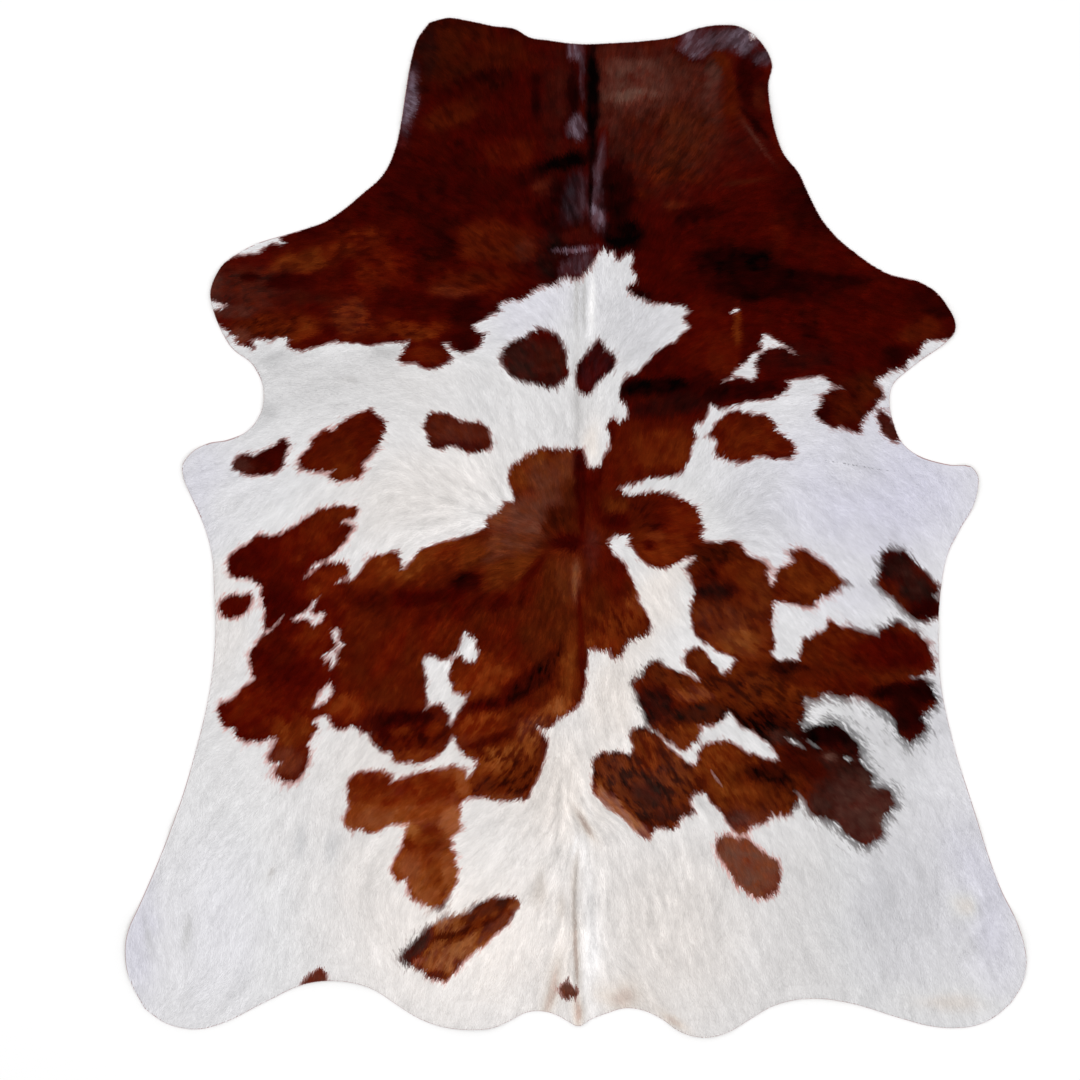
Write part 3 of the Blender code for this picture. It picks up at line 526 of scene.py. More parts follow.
     (330, 520, 24, 12, 20, 0.54, 0.4, 0, 0.08), (282, 602, 22, 18, 20, 0.31, 0, 0, 0.06),
     (324, 582, 26, 12, 25, 0.61, 0.1, 0, 0.06), (336, 602, 18, 14, 0, 0.54, 0, 0, 0.08),
     (268, 648, 20, 24, 40, 0.39, 0.1, 0, 0.08), (314, 642, 18, 22, 0, 0.59, 0.1, 0, 0.08),
     (296, 676, 22, 12, 0, 0.38, 0, 0, 0.06), (250, 704, 30, 18, 0, 0.54, 0, 0, 0.05),
     (295, 732, 24, 14, 0, 0.7, 0.3, 0, 0.08), (288, 762, 18, 16, 0, 0.64, 0.4, 0.15, 0.03),
     (312, 704, 14, 8, 0, 0.57, 0.2, 0, 0.06)),
    # the left loin and rump
    ("left loin", (370, 786, 28, 14, 0, 0.61, 0.3, 0, 0.06), (430, 786, 34, 16, 0, 0.66, 0, 0, 0.05),
     (461, 783, 8, 14, 0, 0.86, 0.1, 0, 0.05), (396, 801, 50, 5, 0, 0.69, 0.1),
     (370, 819, 32, 11, 5, 0.82, 0.2, 0.12, 0.02), (425, 813, 30, 7, 5, 0.79, 0.2, 0, 0.04),
     (451, 826, 10, 16, 0, 1, 0.2, -0.05, 0.06), (424, 842, 24, 16, 0, 0.64, 0.3, 0, 0.08),
     (407, 830, 12, 8, 0, 0.92, 0.7, 0, 0.04), (408, 866, 14, 14, 0, 0.84, 0.2, 0.12, 0.04),
     (434, 874, 9, 18, 0, 0.74, 0.4, 0, 0.08), (448, 868, 7, 18, 0, 0.84, 0.3, 0.04, 0.04),
     (424, 896, 16, 10, 0, 0.85, 0.3, 0.06, 0.04)),
    ("left rump bar", (442, 962, 20, 12, 30, 0.89, 0.5, -0.06, 0.16),
     (466, 946, 22, 10, 35, 0.89, 0.7, -0.05, 0.16), (494, 925, 20, 7, 45, 0.64, 0.6, 0.15, 0.16),
     (512, 908, 8, 10, 40, 0.8, 0.8, -0.12, 0.1), (450, 920, 24, 4, 28, 1, 0.8, -0.12, 0.24),
     (486, 909, 28, 7, 26, 0.45, 0.8, 0.1, 0.2), (470, 930, 34, 4, 28, 0.56, 0.8, 0, 0.3),
     (446, 936, 18, 3.2, 12, 0.34, 0.8, 0, 0.2), (418, 944, 20, 9, 55, 0.27, 0.3, 0.17, 0.2),
     (406, 957, 9, 7, 45, 0.24, 0.2, 0.18, 0.1), (420, 960, 9, 3, 10, 0.8, 0.2, -0.12, 0.1),
     (434, 976, 16, 3.5, -4, 0.5, 0.3, 0.1, 0.1), (482, 940, 8, 3, 45, 0.68, 0.2, 0.28, 0.1)),
    # the right side
    ("right ribs", (718, 553, 26, 11, 0, 0.32, 0.8, 0, 0.18), (750, 574, 22, 16, 0, 0.58, 0.7, 0, 0.1),
     (708, 576, 12, 7, 10, 0.26, 0.4, 0, 0.2), (716, 592, 22, 9, 5, 0.16, 0.3, 0.03, 0.1),
     (722, 622, 28, 20, 0, 0.5, 0.7, 0.08, 0.22), (740, 642, 24, 12, 0, 0.72, 0.7, 0.08, 0.16),
     (762, 610, 12, 28, 0, 0.54, 0.8, 0.03, 0.14), (808, 578, 34, 18, -20, 0.57, 0.8, 0, 0.1)),
    ("right flank", (788, 668, 20, 8, 0, 0.16, 0.7, 0, 0.1), (740, 690, 40, 16, 0, 0.42, 0.9, 0.02, 0.34),
     (704, 664, 16, 10, -40, 0.5, 0.8, 0.02, 0.14), (782, 700, 26, 12, 0, 0.47, 0.9, 0, 0.26),
     (690, 694, 28, 8, -10, 0.74, 0.8, -0.04, 0.16), (652, 706, 19, 20, 0, 0.15, 0.2, 0.04, 0.14),
     (700, 714, 30, 8, 0, 0.2, 0.9, 0.05, 0.26), (666, 676, 20, 9, -20, 0.42, 0.9, 0.02, 0.34),
     (688, 733, 22, 9, 0, 0.64, 0.7, 0, 0.14), (766, 727, 40, 15, -14, 0.22, 0.7, 0, 0.3),
     (786, 740, 18, 7, -20, 0.18, 0.5, 0.2, 0.1)),
    ("right arm", (832, 648, 26, 18, 0, 0.5, 0.6, 0, 0.1), (886, 652, 36, 18, 0, 0.37, 0.1, 0, 0.1),
     (916, 658, 16, 14, 0, 0.37, 0, 0, 0.05), (846, 682, 34, 12, 0, 0.42, 0.4, 0, 0.12),
     (898, 692, 28, 8, 0, 0.07), (926, 690, 14, 12, 0, 0.06), (908, 716, 20, 22, 0, 0.14, 0.1)),
    ("right belly spot", (896, 568, 18, 16, -50, 0.1, 0, 0.05, 0.04),
     (916, 590, 22, 14, -45, 0.13, 0, 0.1, 0.06), (926, 610, 18, 10, 0, 0.16, 0.1, 0, 0.05)),
    ("right loin", (640, 780, 52, 48, 0, 0.46, 1, 0.1, 0.5), (650, 750, 16, 18, 0, 0.62, 0.6, 0.02, 0.2),
     (648, 796, 22, 9, -30, 0.22, 0.7, 0.12, 0.3), (622, 814, 40, 8, -42, 1, 0.5, -0.25, 0.2),
     (672, 816, 20, 7, 0, 0.3, 0.8, 0.08, 0.24)),
    ("right hip", (722, 760, 24, 18, 0, 0.65, 0.7, 0, 0.14), (738, 792, 34, 20, 0, 0.62, 0.9, 0, 0.16),
     (780, 800, 20, 14, 0, 0.46, 0.9, 0, 0.24), (862, 765, 44, 50, 30, 0.12, 0.1, 0.03, 0.05),
     (738, 822, 16, 10, 0, 0.26, 0.4, 0.26, 0.05), (770, 776, 26, 9, -10, 0.2, 0.9, 0, 0.24),
     (812, 760, 40, 18, 0, 0.25, 0.5, 0, 0.14), (826, 735, 26, 12, 0, 0.04),
     (850, 790, 36, 22, -40, 0.16, 0.2, 0.14, 0.05), (866, 812, 32, 33, 0, 0.28, 0.1, 0.28, 0.03),
     (822, 806, 16, 10, -40, 0.18, 0.2, 0.2, 0.05), (812, 770, 20, 9, -20, 0.26, 0.4, 0, 0.1),
     (831, 757, 6, 3.5, 0, 0.28, 0.3, 0.5)),
    ("right thigh spot", (748, 868, 40, 40, 0, 0.78, 0.2, 0.54, 0.03)),
    # the single spots
    ("withers spot, left", (520, 358, 22, 24, 0, 0.18, 0, 0.1, 0.1),
     (550, 360, 18, 20, 0, 0.27, 0.3, 0.07, 0.1), (550, 380, 20, 6, 0, 0.21, 0, 0.04)),
    ("withers spot, right", (596, 366, 22, 30, 0, 0.25, 0, -0.02, 0.08)),
    ("left shoulder spot", (460, 432, 40, 18, 0, 0.46, 0.5, 0.12, 0.08),
     (452, 447, 34, 5, 0, 0.28, 0.1, 0.05)),
    ("left ribs spot", (342, 445, 46, 30, 40, 0.46, 0.4, 0, 0.08),
     (350, 474, 22, 10, 0, 0.56, 0.4, 0, 0.05)),
    ("left brisket spot", (262, 460, 36, 20, 20, 0.27, 0.2, 0, 0.06),
     (240, 468, 12, 9, 0, 0.32, 0, 0.16)),
    ("left belly spot", (236, 606, 24, 16, 20, 0.43, 0, 0, 0.03)),
    ("right shoulder spot", (752, 436, 46, 24, 0, 0.52, 0.4, 0, 0.1)),
    ("right elbow", (890, 426, 18, 18, 0, 0.28, 0.2, 0.1, 0.05)),
    ("spot above the tail", (568, 992, 14, 14, 0, 0.62, 0.2, 0.58)),
    ("spot at the hem", (316, 978, 16, 12, 0, 0.58, 0.1, 0.34)),
    # narrow marks
    ("beside the parting", (535, 95, 5, 22, 0, 0.12), (573, 94, 6, 22, 0, 0.1),
     (560, 98, 3, 20, 0, 0.3, 0, 0.05)),
    ("wisp off the parting", (566, 162, 24, 7, 14, 0)),
    # Painted shade: the dark line of the hair's parting along the spine.
    ("line of the spine", (580, 480, 6, 30, 0, 0.22), (582, 512, 3, 24, 0, 0.3)),
    ("crossing on the back", (567, 543, 18, 8, 0, 0.25)),
    ("streak by the spine", (577, 582, 4, 18, 0, 0.84, 0.8, 0.36)),
    # Painted shade: the dark line of the hair's parting along the spine.
    ("line of the spine", (581, 640, 2.6, 56, 2, 0.42, 0.1)),
    # Painted shade: the dark side of the neck's curled-up right edge.
    ("dark strip at the right neck", (752, 84, 14, 34, 10, 0.17)),
    ("curl at the right neck", (760, 100, 7, 14, 0, 0.35, 0.6, 0.02, 0.05)),
    ("ginger stripe at the right neck", (725, 68, 19, 6, -62, 0.44, 0.6),
     (732, 102, 26, 8, -82, 0.4, 0.5, 0, 0.05)),
    # Painted shade inside the curl, then a thin painted highlight along its lip.
    ("curl at the right neck", (755, 124, 20, 3.5, -52, 0.12), (758, 142, 24, 1.8, -54, 0.38, 0.1, 0.22)),
    ("right of the parting", (618, 188, 18, 34, 0, 0.08)),
    ("right withers", (625, 237, 23, 15, 0, 0)),
    ("right shoulder", (742, 264, 38, 14, -6, 0.04), (752, 291, 34, 9, -4, 0.08),
     (826, 280, 46, 7, -3, 0.13), (760, 274, 40, 3, 4, 0.09), (738, 326, 5, 20, 0, 0.62, 0.7)),
    ("dark band right of the withers", (656, 386, 40, 10, 2, 0.04)),
    ("round patch", (404, 717, 30, 7, 5, 0.2, 0.1, 0, 0.08)),
    ("sheen below the red", (574, 249, 19, 2.2, 4, 0.5, 0, -0.85)),
    # Painted shade: the dark groove of the parting down the neck.
    ("parting", (591.5, 100, 6.4, 62, 0, 0), (590.5, 186, 2.2, 36, 0, 0.03)),
)

# What the white is like, as soft ovals in the same way: its warmth, from -1, lavender, through 0, white,
# and 1, cream, up to 2, tan, and its lightness, below 0 for darker and above 0 for lighter. Along the
# spine's ridge and partings, that lightness is painted shade and highlight.
Tint = namedtuple("Tint", "place x y along across turn warmth light")
TINTS = rows_of(
    Tint,
    ("left shoulder", (330, 385, 100, 30, 0, 0.05, -0.9), (430, 380, 50, 30, 0, 0.2, -0.4)),
    ("left brisket", (205, 500, 34, 60, 0, -0.7, -0.4), (250, 500, 40, 24, 20, -0.2, -0.2)),
    ("left ribs", (430, 490, 90, 50, 20, 0.5, -0.05)),
    ("left belly edge", (220, 620, 30, 60, 0, 0.35, 0)),
    ("star, left", (535, 308, 50, 26, 20, -0.55, 0)),
    ("star, right", (640, 325, 50, 40, 0, -0.2, -0.75)),
    ("left of the withers", (500, 400, 50, 26, 0, 0.1, -0.3)),
    ("withers", (590, 420, 26, 40, 0, 0.1, -0.5)),
    ("cream at the withers", (592, 446, 8, 20, 0, 0.9, 0.3)),
    ("right ribs", (740, 500, 60, 50, 0, -0.05, -0.8), (885, 490, 95, 70, 0, -1.1, -0.3)),
    ("right elbow", (850, 460, 30, 30, 0, -0.6, -0.6)),
    ("right belly", (850, 600, 34, 26, -20, -0.5, -0.4)),
    ("between the patches", (655, 600, 26, 70, -20, 0.7, 0.1)),
    ("between the flanks", (615, 700, 30, 50, 0, 0.8, 0.1)),
    ("right belly edge", (930, 720, 30, 40, 0, -0.4, -0.6)),
    ("right flank", (880, 760, 60, 60, 0, -0.15, -0.8)),
    ("middle", (560, 790, 60, 60, 0, 0.85, 0.15)),
    ("left loin", (400, 760, 90, 60, 0, 0.4, 0)),
    ("left rump", (400, 900, 70, 110, 0, 0.5, 0.1), (490, 940, 90, 80, 0, 0.65, 1.25)),
    ("right rump", (680, 930, 90, 90, 0, 0.65, 0)),
    ("right thigh", (800, 925, 60, 90, 0, 0.25, -0.55), (900, 900, 60, 100, 0, -0.2, -1.05)),
    ("right hind leg edge", (985, 900, 30, 80, 15, -0.75, -0.4)),
    ("left thigh", (215, 930, 50, 90, 0, -0.2, 0.3)),
    ("left hind leg edge", (135, 935, 20, 60, 0, -0.65, 0)),
    ("orange at the right hind leg", (966, 905, 10, 12, 0, 0.6, -0.5)),
    ("orange at the right hem", (950, 1003, 30, 8, 0, 0.7, -0.6)),
    # Painted highlight: the lit crest of the ridge along the spine.
    ("spine above the tail", (587, 880, 5, 70, 0, 0.3, 1), (589.5, 970, 8, 50, 0, 0.1, 1.75)),
    ("left of the tail line", (566, 955, 6, 26, 0, 0.6, 0.9)),
    # Painted shade, on tan-stained hair: the shaded line beside the spine's ridge.
    ("line above the tail", (575.5, 950, 1.9, 48, 2, 1.75, -1.6)),
    ("beside the tail, left", (551, 990, 5, 26, -12, 1.7, -0.5)),
    ("beside the tail, right", (621, 997, 18, 13, -10, 1.45, -0.7)),
    ("below the tail spot", (577, 1012, 4, 13, 6, 1.9, -0.6)),
    ("stain at the right rump's hem", (672, 1021, 15, 4, -36, 1.4, -0.3)),
    # Painted shade: the dark line of the hair's parting along the withers.
    ("line of the withers", (577, 296, 1.9, 30, 0, 0.2, -2.3)),
    ("stripe of the withers", (591, 305, 3, 28, 0, 0.1, 1.4)),
    # Painted shade: the dark line of the hair's parting along the withers.
    ("line of the withers", (584, 300, 1.7, 30, 0, 0.1, -2), (577, 410, 3, 50, 0, 0.2, -1.5)),
    ("swirl beside the spine", (585, 825, 13, 3.2, -55, 1.9, -1.8)),
    ("tuft on the spine", (577, 844, 5, 12, 0, 0.1, 1.6)),
    # Painted shade, on cream hair: the shaded line beside the spine's ridge.
    ("line on the rump", (575, 888, 1.8, 34, -4, 1.1, -1.7)),
    ("smudge left of the spine", (540, 890, 7, 16, 0, 0.95, -1), (561, 908, 4, 12, 0, 0.9, -1)),
    ("shade on the left thigh", (300, 842, 4, 14, -10, 0, -0.9), (333, 850, 7, 16, -10, 0.1, -0.6),
     (188, 935, 4, 16, 0, 0, -0.8), (150, 940, 3, 16, 15, -0.3, -0.8)),
    ("mark on the left thigh", (272, 873, 2.5, 5, -20, 0.3, -1.8)),
    ("mark on the left shoulder", (349, 381, 7, 3, 0, 0.2, -1.8)),
    ("shade at the left elbow", (270, 360, 14, 9, 0, 0, -1.6), (266, 412, 12, 10, 0, 0, -1.4)),
    ("shade at the left shoulder", (385, 355, 14, 7, 0, 0.1, -1.5)),
)

# Where the hair at a brown patch's rim thins out into the white: how wide that is, in pixels, and how
# pink it looks, up to 1, or how grey, down to -1.
Halo = namedtuple("Halo", "place x y along across turn width pink")
HALOS = (
    Halo("left flank", 262, 650, 70, 150, 0, 3.4, 0.9),
    Halo("left flank, above", 320, 545, 90, 34, 20, 3, 0.9),
    Halo("left flank, below", 290, 762, 50, 36, 0, 5.5, 0.8),
    Halo("left ribs", 340, 470, 60, 60, 0, 3.2, 0.8),
    Halo("left loin", 425, 850, 44, 70, 0, 2.8, 0.9),
    Halo("left rump bar, above", 445, 915, 70, 14, 30, 5, -0.1),
    Halo("left rump bar, below", 470, 965, 60, 14, 38, 2.4, 1),
    Halo("left end of the rump bar", 404, 955, 14, 20, 0, 5, -0.5),
    Halo("right ribs", 770, 555, 70, 20, 0, 4, 0.5),
    Halo("right arm", 850, 610, 100, 26, -20, 5, 0.8),
    Halo("right flank", 650, 690, 24, 50, 0, 4, -0.2),
    Halo("right belly spot", 890, 590, 44, 60, 0, 6, -0.6),
    Halo("right arm, below", 900, 728, 60, 50, 0, 9.5, -1),
    Halo("right arm, below", 850, 694, 40, 12, 0, 6, 0.9),
    Halo("right hip, above", 850, 740, 60, 36, -30, 11, -1),
    Halo("right hip, side", 884, 795, 30, 44, -20, 9.5, -0.8),
    Halo("right hip, below", 850, 835, 60, 22, -30, 9, -0.8),
    Halo("right thigh spot", 748, 870, 50, 50, 0, 3.5, 0.9),
    Halo("foreleg", 870, 395, 60, 50, 0, 3, 0.4),
    Halo("withers spots", 555, 360, 80, 50, 0, 3, 0.2),
    Halo("top of the star", 560, 275, 34, 16, 20, 7, 0.3),
)

# How unkempt the coat is: 1 where the hair lies as on the flanks, more where strands stand out, and less
# where the coat is sleek. The rows are soft ovals, as above, laid over one another on a coat of 1.
Rough = namedtuple("Rough", "place x y along across turn rough")
ROUGHNESS = (
    Rough("neck", 500, 130, 110, 130, 0, 1.3),
    Rough("right neck", 675, 120, 75, 90, 0, 3.4),
    Rough("left shoulder", 330, 290, 150, 60, 0, 1.4),
    Rough("left ribs", 380, 400, 130, 55, 0, 0.6),
    Rough("left ribs, before the back", 405, 505, 75, 42, -15, 0.55),
    Rough("star", 590, 320, 60, 40, 0, 1.5),
    Rough("back", 500, 570, 100, 110, 0, 3.2),
    Rough("right ribs", 740, 520, 60, 40, 0, 1.6),
    Rough("right flank", 720, 700, 110, 90, 0, 1.6),
    Rough("right loin", 645, 785, 60, 55, 0, 3.6),
    Rough("left loin", 410, 850, 50, 50, 0, 1.8),
    Rough("middle", 575, 780, 40, 100, 0, 2),
    Rough("right rump", 660, 890, 90, 90, 0, 2.2),
    Rough("rump along the spine", 578, 880, 32, 130, 0, 3.2),
    Rough("right hind leg", 975, 900, 30, 90, 0, 1.7),
)

# The way the hair lies, as the heading of its tips in degrees against the clock from the right.
Combed = namedtuple("Combed", "place x y heading")
COMBING = rows_of(
    Combed,
    ("neck, left corner", (425, 40, 140)),
    ("neck, left edge", (400, 110, 155)),
    ("neck, left", (470, 120, 120), (540, 80, 102), (540, 180, 112)),
    ("parting, left", (582, 60, 96), (582, 150, 100)),
    ("parting, right", (602, 60, 84), (604, 150, 78)),
    ("neck, right", (650, 90, 66), (720, 60, 50)),
    ("neck, right edge", (770, 120, 20)),
    ("neck, right", (670, 170, 55)),
    ("throat, left", (370, 195, 165)),
    ("throat, right", (790, 190, 10)),
    ("left shoulder", (440, 200, 150), (440, 270, 172), (350, 260, 186)),
    ("left foreleg", (260, 280, 192), (240, 320, 215)),
    ("left shoulder", (400, 330, 182)),
    ("left withers", (520, 250, 140)),
    ("top of the star", (585, 260, 98), (610, 270, 80), (632, 270, 62)),
    ("left point of the star", (480, 325, 183)),
    ("left of the star", (530, 300, 150)),
    ("right of the star", (620, 330, 60), (650, 320, 45)),
    ("right point of the star", (685, 318, 22)),
    ("right of the star", (650, 365, 35)),
    ("spine", (584, 300, 94), (582, 420, 95), (594, 420, 84)),
    ("left of the spine", (555, 400, 112), (520, 400, 122), (475, 400, 130), (490, 465, 120)),
    ("left ribs", (425, 440, 143), (390, 400, 172), (345, 450, 222)),
    ("left shoulder", (320, 380, 195)),
    ("left brisket", (260, 460, 215), (210, 470, 205), (230, 520, 225)),
    ("right shoulder", (720, 260, 10), (820, 290, -10)),
    ("right foreleg", (910, 310, -15), (900, 360, -40)),
    ("right shoulder", (760, 350, 5)),
    ("right of the withers", (640, 440, 75), (700, 455, 72)),
    ("right ribs", (722, 480, 55), (745, 490, 42), (780, 450, 10), (792, 510, -50), (850, 480, -40)),
    ("right brisket", (950, 480, -60), (900, 450, -30)),
    ("right ribs", (830, 560, -43)),
    ("right belly", (915, 575, -55), (880, 615, -50)),
    ("back, above the crossing", (583, 500, 92), (550, 500, 108), (620, 500, 66)),
    ("back, below the crossing", (583, 585, 270), (560, 600, 262), (605, 590, 288)),
    ("back, left", (520, 530, 160), (470, 560, 205), (400, 570, 222), (350, 535, 235), (430, 640, 240),
     (520, 640, 248)),
    ("back, right", (670, 530, 10), (650, 590, 300)),
    ("left flank", (290, 555, 232), (280, 650, 228), (240, 720, 222), (300, 760, 240), (350, 700, 240)),
    ("left belly edge", (220, 620, 245)),
    ("spine", (584, 680, 270)),
    ("spine, left", (560, 770, 264)),
    ("spine, right", (598, 770, 292)),
    ("left loin", (520, 730, 240), (510, 800, 226), (455, 775, 222), (450, 830, 208), (380, 800, 225),
     (420, 870, 232)),
    ("left rump", (510, 865, 224), (538, 880, 236), (485, 898, 228), (440, 932, 239), (475, 925, 232),
     (470, 980, 246), (545, 950, 256)),
    ("spine", (577, 900, 268), (584, 980, 270)),
    ("right of the spine", (610, 815, 312), (615, 870, 288)),
    ("right rump", (655, 900, 286), (685, 895, 274), (620, 980, 300), (720, 960, 292)),
    ("right ribs", (715, 580, 310)),
    ("right flank", (680, 690, 312), (760, 700, 318)),
    ("right arm", (850, 650, 322), (915, 720, 312)),
    ("right loin", (650, 780, 304)),
    ("right hip", (740, 780, 306), (860, 770, 322), (880, 825, 316)),
    ("right thigh", (775, 845, 300), (820, 875, 297), (880, 895, 290), (915, 900, 283), (960, 800, 300)),
    ("right hind leg", (965, 945, 295), (1000, 900, 290), (900, 980, 285)),
    ("left thigh", (270, 855, 246), (225, 835, 224), (220, 880, 236), (210, 925, 258), (330, 830, 256),
     (380, 935, 284), (300, 930, 262)),
    ("left hind leg", (170, 940, 282), (210, 1000, 228)),
    ("left thigh edge", (180, 800, 250)),
)

# ---------------------------------------------------------------------------------------------------
# The hide's shape, as in the solid
# ---------------------------------------------------------------------------------------------------

SKIN_ROWS = 206  # grid lines across the hide, between the neck and hem edges
SKIN_COLUMNS = 184  # grid lines along the hide, between the two sides
RIM_STEPS = np.array((0.0012, 0.004, 0.009, 0.016))  # closer lines inside each edge, in metres from it
EDGE_LATTICE = 0.006  # metres between the lattice points where the way to the cut edge is measured
EDGE_MARGIN = 5  # steps that this lattice goes past the outline
BLOCK = 4096  # points measured at one time, to keep the arrays small


def smooth_curve(knots, points, at):
    """Reads a smooth curve through points, which lie at the rising parameters knots, at others, at.

    Between two points it is a cubic whose end slopes are the slopes between each point's neighbours.
    """
    slopes = np.gradient(points, knots, axis=0)
    span = np.clip(np.searchsorted(knots, at, side="right") - 1, 0, len(knots) - 2)
    width = (knots[span + 1] - knots[span])[:, None]
    t = (at - knots[span])[:, None] / width
    return (
        (2 * t**3 - 3 * t**2 + 1) * points[span]
        + (t**3 - 2 * t**2 + t) * width * slopes[span]
        + (3 * t**2 - 2 * t**3) * points[span + 1]
        + (t**3 - t**2) * width * slopes[span + 1]
    )


def side_curves(at):
    """The left and right sides at the fractions at of the way from the neck to the hem."""
    left = np.array([(row.left_x, row.left_y) for row in SECTIONS])
    right = np.array([(row.right_x, row.right_y) for row in SECTIONS])
    steps = np.linalg.norm(np.diff(left, axis=0), axis=1) + np.linalg.norm(np.diff(right, axis=0), axis=1)
    knots = np.concatenate(([0.0], np.cumsum(steps))) / steps.sum()
    return smooth_curve(knots, left, at), smooth_curve(knots, right, at)


def cross_curve(edge, at):
    """The neck or hem edge at the fractions at of the way from the left corner to the right one."""
    points = np.array([(row.x, row.y) for row in edge])
    knots = (points[:, 0] - points[0, 0]) / (points[-1, 0] - points[0, 0])
    return smooth_curve(knots, points, at)


def grid_fractions(count, length):
    """Even fractions from 0 to 1, with the rim's closer lines at each end of that length."""
    rim = RIM_STEPS / length
    inner = np.linspace(rim[-1], 1 - rim[-1], count - 2 * len(rim))
    return np.concatenate(([0.0], rim[:-1], inner, 1 - rim[-2::-1], [1.0]))


def hide_plan():
    """The grid's points seen from above in centimetres, as an array of rows by columns by (x, y).

    Each point blends its place between the two sides with its place between the neck and hem edges,
    and takes away the blend of the four corners, which both of those already hold.
    """
    v = grid_fractions(SKIN_ROWS, HIDE_LENGTH)
    u = grid_fractions(SKIN_COLUMNS, HIDE_WIDTH)
    left, right = side_curves(v)
    neck, hem = cross_curve(NECK_EDGE, u), cross_curve(HEM_EDGE, u)
    across, down = u[None, :, None], v[:, None, None]
    between_sides = (1 - across) * left[:, None] + across * right[:, None]
    between_ends = (1 - down) * neck[None] + down * hem[None]
    neck_corners = (1 - across) * neck[0] + across * neck[-1]
    hem_corners = (1 - across) * hem[0] + across * hem[-1]
    return between_sides + between_ends - (1 - down) * neck_corners - down * hem_corners


PLAN = hide_plan()
PLAN_LOW, PLAN_HIGH = PLAN.min(axis=(0, 1)), PLAN.max(axis=(0, 1))
PLAN_MIDDLE = (PLAN_LOW + PLAN_HIGH) / 2
PLAN_SCALE = np.array((HIDE_WIDTH, HIDE_LENGTH)) / (PLAN_HIGH - PLAN_LOW)
HIDE_MIDDLE = (HIDE_LOW + HIDE_HIGH)[:2] / 2


def plan_to_places(plan):
    """Places in metres, from a plan in centimetres, about the middle of the hide's box."""
    return (plan - PLAN_MIDDLE) * PLAN_SCALE + HIDE_MIDDLE


def places_to_plan(places):
    return (places - HIDE_MIDDLE) / PLAN_SCALE + PLAN_MIDDLE


def fold_lift(places):
    """How far the folds lift the hide, in metres: a rounded crest on each, highest at its middle, that
    has faded to nothing at its reach, so that the hide lies flat between the folds."""
    plan = places_to_plan(places)
    lift = np.zeros(plan.shape[:-1])
    for fold in FOLDS:
        away = plan - (fold.x, fold.y)
        turn = np.radians(fold.turn)
        along = (away[..., 0] * np.cos(turn) + away[..., 1] * np.sin(turn)) / fold.along
        across = (away[..., 1] * np.cos(turn) - away[..., 0] * np.sin(turn)) / fold.across
        lift += fold.lift * MM * np.clip(1 - along**2 - across**2, 0, None) ** 2
    return lift


def rim_of(grid):
    """A grid's edge points in one ring, against the clock: down the left side, along the hem, up the
    right side and back along the neck."""
    return np.concatenate((grid[:-1, 0], grid[-1, :-1], grid[:0:-1, -1], grid[0, :0:-1]))


def way_inside(points, ring):
    """How far each point lies inside a closed outline: the least distance to its sides, below zero for
    a point outside. A point is inside when a line drawn from it to the right crosses an odd number of
    sides."""
    start, end = ring, np.roll(ring, -1, axis=0)
    side = end - start
    length_squared = np.maximum((side**2).sum(axis=1), TINY)
    result = np.empty(len(points))
    for first in range(0, len(points), BLOCK):
        block = points[first:first + BLOCK, None]
        away = block - start
        at = np.clip((away * side).sum(axis=2) / length_squared, 0, 1)
        distance = np.linalg.norm(away - at[..., None] * side, axis=2).min(axis=1)
        spans = (start[:, 1] > block[..., 1]) != (end[:, 1] > block[..., 1])
        slope = side[:, 0] / np.where(side[:, 1] == 0, TINY, side[:, 1])
        crossing = spans & (block[..., 0] < start[:, 0] + (block[..., 1] - start[:, 1]) * slope)
        inside = crossing.sum(axis=1) % 2 == 1
        result[first:first + BLOCK] = np.where(inside, distance, -distance)
    return result


def way_to_cut_edge(ring):
    """A function that tells how far places lie inside the cut edge, in metres. It measures the way once
    on a lattice, and blends between the four lattice points round each place."""
    low = ring.min(axis=0) - EDGE_MARGIN * EDGE_LATTICE
    counts = np.ceil((ring.max(axis=0) - low) / EDGE_LATTICE).astype(int) + EDGE_MARGIN + 1
    across, up = np.meshgrid(np.arange(counts[0]), np.arange(counts[1]), indexing="ij")
    lattice = np.stack((across, up), axis=-1).reshape(-1, 2) * EDGE_LATTICE + low
    ways = way_inside(lattice, ring).reshape(counts)

    def way(places):
        at = (places - low) / EDGE_LATTICE
        cell = np.clip(np.floor(at).astype(int), 0, counts - 2)
        return blend_corners(ways, cell, at - cell)

    return way


def blend_corners(lattice, cell, part):
    """The lattice's values at the four corners of each cell, blended by the parts of a cell passed."""
    i, j = cell[..., 0], cell[..., 1]
    s, t = part[..., 0], part[..., 1]
    near = lattice[i, j] * (1 - s) + lattice[i + 1, j] * s
    far = lattice[i, j + 1] * (1 - s) + lattice[i + 1, j + 1] * s
    return near * (1 - t) + far * t


# ---------------------------------------------------------------------------------------------------
# What the coat is like at a place
# ---------------------------------------------------------------------------------------------------

PATCH_MARGIN = 24.0  # pixels round a patch within which its outline is measured
COMBING_REACH = 14.0  # pixels that soften the readings of the hair's heading, so that none rules alone
SURVEY_MARGIN = 16.0  # pixels that the survey goes past the hide's box
FINE_STEP = 1.25  # pixels between the survey's spots where patches have their outlines
BROAD_STEP = 2.5  # pixels between them for what changes slowly
HUE_STEP = 1.5  # pixels between them for the colours
BROAD_OVAL = 14.0  # pixels from which up an oval's edge is as ragged as it can be
NOISE_BEFORE, NOISE_AFTER = 10, 14  # steps that noise goes past the photograph's first and last pixels
DRAWN_STEPS = 9  # steps along the hair over which drawn-out noise takes its mean

